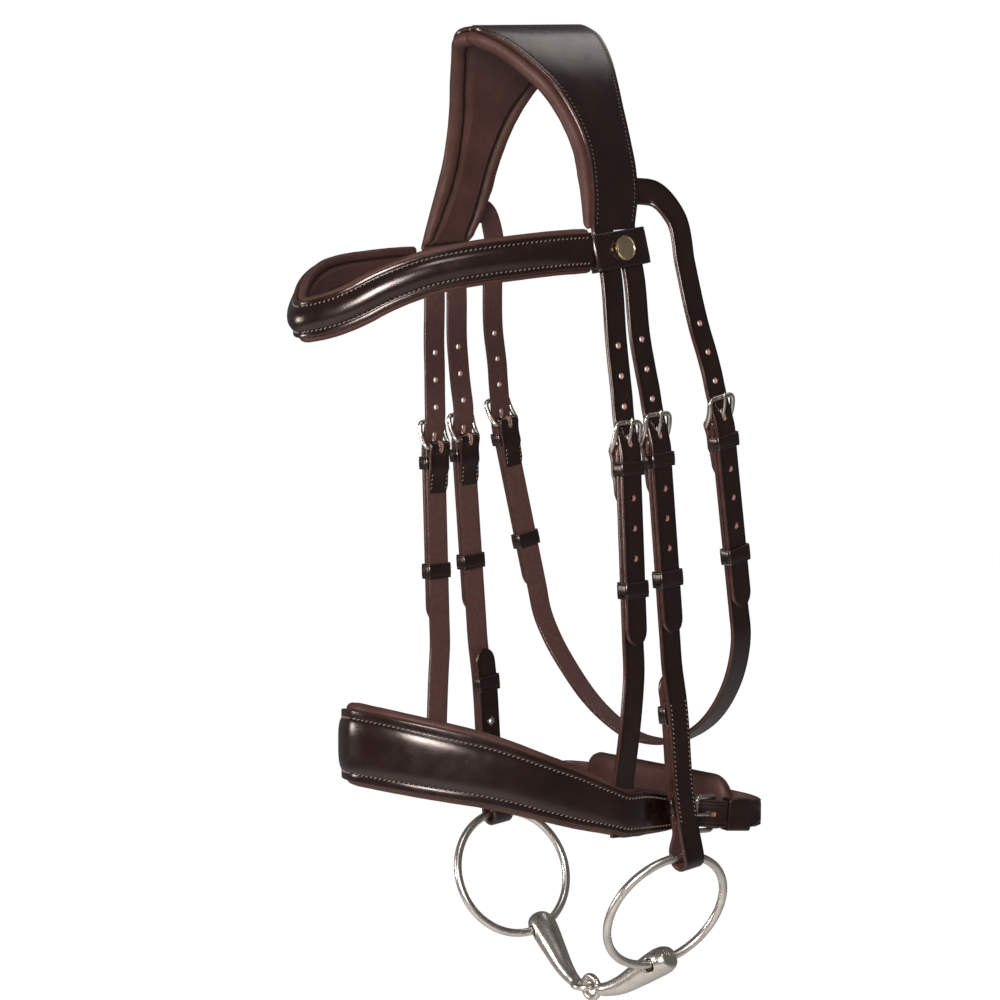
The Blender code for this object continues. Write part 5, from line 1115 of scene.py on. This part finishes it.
# Noseband: broad polished leather raised over padding in front, narrowing at the sides to a billet for
# each jaw buckle, on a soft lining rolled past both edges, with the hangers sewn in between.
NOSE_HEIGHT = 0.044
NOSE_RISE = 0.0019
NOSE_MARGIN = (0, 0.5, 0.9, 1.9), (0.0050, 0.0048, 0.0036, 0.0022)
NOSE_DROPS = np.array([(0, 0.931), (0.2, 0.912), (0.4, 0.8925), (0.6, 0.873), (0.8, 0.8590), (1, 0.8456)])
nose_front = band_points(0.0955, 0.1335, 0.003, 1.57, NOSE_DROPS, 12)
nose_side = [np.array(q) * SIZE for q in ((0.944, 0.14, -0.933), (0.866, 0.32, -0.939),
                                          (0.832, 0.46, -0.944), (0.829, 0.58, -0.948))]
NOSE_BILLET = ((-PITCH * 1.15, TOE_BILLET_OUT - GAP), (-PITCH * 0.85, TOE_BILLET_OUT - GAP),
               (-PITCH * 0.15, BILLET_OUT - GAP), (PITCH * 0.15, BILLET_OUT), (JAW_BILLET, BILLET_OUT))
nose_side += [JAW.place(JAW_HEEL + at, n, 0) for at, n in NOSE_BILLET]
NOSE = Route(np.concatenate([np.array(nose_side)[::-1] * MIRROR, nose_front, np.array(nose_side)]),
             across=(0, 0, 1))
NOSE.w[:] = (0, 0, 1)
side_arc = NOSE.where(nose_front[-1]) - NOSE.length / 2
billet_arc = NOSE.where(nose_side[4]) - NOSE.length / 2
TAPER = np.array([(0, 0.97), (0.2, 0.945), (0.42, 0.885), (0.6, 0.812), (0.72, 0.757), (0.80, 0.716),
                  (0.90, 0.630), (1.0, 0.568), (1.12, 0.568), (1.26, 0.50), (1.36, 0.386), (1.9, 0.386)])


def nose_half(arc):
    """Half the noseband's height at an arc length from its front, narrowing to the billet."""
    share = np.abs(arc) / side_arc
    half = smooth(share, TAPER[:, 0], TAPER[:, 1]) * NOSE_HEIGHT / 2
    return np.where(np.abs(arc) > billet_arc * 0.99, JAW_HALF, np.maximum(half, JAW_HALF))


tip_at = NOSE.length / 2 - TIP_LENGTH * (1 - TIP[:, 0])
arc = np.concatenate([-tip_at[::-1], np.linspace(-tip_at[0], tip_at[0], 300)[1:-1], tip_at])
half = nose_half(arc) * np.interp(np.abs(arc), tip_at, TIP[:, 1])
share = np.abs(arc) / side_arc
rise = smooth(share, (0, 0.45, 0.8, 1.0, 1.25, 1.9), (1, 1, 0.8, 0.4, 0, 0)) * NOSE_RISE
margin = smooth(share, *NOSE_MARGIN)
n, w, paint = raised_profile(half, rise, np.reshape(margin, (-1, 1)), 3.6)
noseband = skin("noseband_face", NOSE.grid(arc + NOSE.length / 2, n, w), paint)
cut_out(noseband, [billet_slot(JAW, JAW_HEEL, off) for off in (False, True)])
finished(noseband, BRIDLE_LEATHER, "tack", "outer_leather", "noseband_leather")

arc = np.linspace(-billet_arc * 0.955, billet_arc * 0.955, 260)
share = np.abs(arc) / side_arc
end = billet_arc * 0.955 - np.abs(arc)
close = smooth(end, (0, 0.002, 0.008, 0.02), (0.3, 0.7, 0.95, 1))
pucker = 1 + 0.013 * np.sin(arc * 2 * math.pi / 0.015) * np.sin(arc * 2 * math.pi / 0.047)
roll = smooth(share, (0, 0.6, 1, 1.3), (0.0036, 0.0034, 0.0029, 0.0018)) * close * pucker
thick = smooth(share, (0, 0.6, 1, 1.2, 1.5), (0.0065, 0.0060, 0.0052, 0.0036, 0.0036)) * close
n, w, paint = rolled_lining(nose_half(arc), thick, roll, -LEATHER - GAP)
nose_roll = skin("noseband_roll", NOSE.grid(arc + NOSE.length / 2, n, w), paint)
finished(nose_roll, SOFT_LEATHER, "tack", "lining_leather", "noseband_lining")
half_arc = np.linspace(0.0014, billet_arc * 0.97, 500)
row = nose_half(half_arc) - smooth(half_arc / side_arc, *NOSE_MARGIN)
out = NOSE.frame(half_arc + NOSE.length / 2)[2]
sewn("noseband_stitches", [stitch_row(NOSE.place(half_arc + NOSE.length / 2, -0.0001, sign * row), out)
                           for sign in (1, -1)], "tack")

# Bit: two bright steel rings that run loose through the ends of a mouthpiece of two tapered cannons,
# joined in the middle by linked eyes.
BRIGHT = metal("bright steel", (0.88, 0.82, 0.75), 0.27, 0.02, (0.70, 0.64, 0.57))
RING_RADIUS = 0.0415
for side, _ in SIDES:
    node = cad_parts[f"bit_ring_{side}"]
    co = np.empty(len(node.data.vertices) * 3)
    node.data.vertices.foreach_get("co", co)
    co = np.unique(np.round(co.reshape(-1, 3), 7), axis=0)
    low, high = co.min(axis=0), co.max(axis=0)
    centre = (low + high) / 2
    axes = np.linalg.svd(co - centre, full_matrices=False)[2]
    a = around(120)
    points = centre + RING_RADIUS * (np.cos(a)[:, None] * axes[0] + np.sin(a)[:, None] * axes[1])
    ring = wire(f"bit_ring_wire_{side}", points, RING_WIRE, RING_WIRE,
                np.broadcast_to(axes[2], points.shape), count=20)
    finished(ring, BRIGHT, f"bit_ring_{side}", "steel", f"bit_ring_{side}")

BIT_REST = B_ROUTE.place(cheek_heel + np.array([loop_at]), np.array([loop_n]), np.array([0.0]))[0]
BUTT_PLACE = BIT_REST + np.array([-0.8072, 0.2819, -1.7831]) * RING_RADIUS
BIT_MIDDLE = BIT_REST * np.array([0, 1, 1]) + np.array([0, 0.0145, -2.4217]) * RING_RADIUS
EYE_RADIUS, EYE_WIRE, EYE_OFFSET = 0.0070, 0.0021, 0.0034
BUTT, BUTT_LONG, SAG = 0.0088, 0.0098, 0.0040


def cannon(name, yaw, eye_axis, off):
    """A cannon: an oval section swept along a sagging line, swelling from the eye to a pierced butt."""
    chord = unit(BUTT_PLACE - BIT_REST)
    normal = np.array([-math.cos(yaw), math.sin(yaw), 0])
    normal[2] = -(chord[0] * normal[0] + chord[1] * normal[1]) / chord[2]
    normal = unit(normal)
    middle = (BIT_REST + BUTT_PLACE) / 2
    reach = np.linalg.norm(BUTT_PLACE - BIT_REST) / 2
    middle = middle + math.sqrt(RING_RADIUS**2 - reach**2) * np.cross(normal, chord)
    hole_way = unit(np.cross(normal, BUTT_PLACE - middle))
    eye = BIT_MIDDLE + np.array([EYE_OFFSET, 0, 0])
    root = eye + np.array([EYE_RADIUS, 0, 0])
    out = unit(BUTT_PLACE - root)
    heading = unit(out * np.array([1, 1, 0.35]))
    sag = np.array([0, 0, -SAG])
    line = Route([root - heading * EYE_WIRE * 0.6, root + heading * EYE_RADIUS * 0.8,
                  (root * 2 + BUTT_PLACE) / 3 + sag * 0.9, (root + BUTT_PLACE * 2) / 3 + sag * 0.5,
                  BUTT_PLACE, BUTT_PLACE + out * BUTT * 1.05], across=(0, 1, 0))
    butt = line.where(BUTT_PLACE) / line.length
    share = np.concatenate([np.linspace(0, butt, 40), np.linspace(butt, 1, 14)[1:]])
    full = smooth(share, (0, 0.04, 0.14, 0.3, 0.5, 0.66, butt * 0.9, butt, butt + (1 - butt) * 0.5,
                          butt + (1 - butt) * 0.85, 1),
                  (0.28, 0.42, 0.53, 0.68, 0.84, 0.94, 0.99, 1, 0.90, 0.62, 0.22))
    long = BUTT * full + (BUTT_LONG - BUTT) * np.interp(share, (0.55, butt), (0, 1)) * full
    a = around(28)
    grid = line.grid(share * line.length, BUTT * full[:, None] * np.cos(a), long[:, None] * np.sin(a))
    bar = skin(name, grid, off=off)
    a = around(48)
    turn = Vector(eye_axis).to_track_quat("Z", "Y").to_matrix()
    axis = np.array(turn.col[2])
    points = eye + EYE_RADIUS * (np.cos(a)[:, None] * np.array(turn.col[0])
                                 + np.sin(a)[:, None] * np.array(turn.col[1]))
    loop = wire("eye", points, EYE_WIRE, EYE_WIRE, np.broadcast_to(axis, points.shape), off=off, count=16)
    combine(bar, loop, "UNION")
    q, t = BUTT_PLACE[None], unit(np.cross(hole_way, [0, 0, 1.0]))[None]
    hole = punch(q, t, hole_way[None], np.cross(hole_way, t), RING_WIRE + 0.0016, RING_WIRE + 0.0016, 0.02,
                 off, 32)
    combine(bar, hole, "DIFFERENCE")
    remesh = bar.modifiers.new("forged", "REMESH")
    remesh.mode = "VOXEL"
    remesh.voxel_size = 0.00045
    soften = bar.modifiers.new("polished", "SMOOTH")
    soften.factor = 0.5
    soften.iterations = 8
    settle(bar, [loop, hole])
    bar.data.shade_smooth()
    return bar


for side, yaw, eye_axis in (("near", math.radians(11), (0, 1, 0)), ("off", math.radians(-10), (0, 0, 1))):
    bar = cannon(f"bit_mouthpiece_{side}", yaw, eye_axis, side == "off")
    finished(bar, BRIGHT, f"bit_cannon_{side}", "steel", f"bit_cannon_{side}")
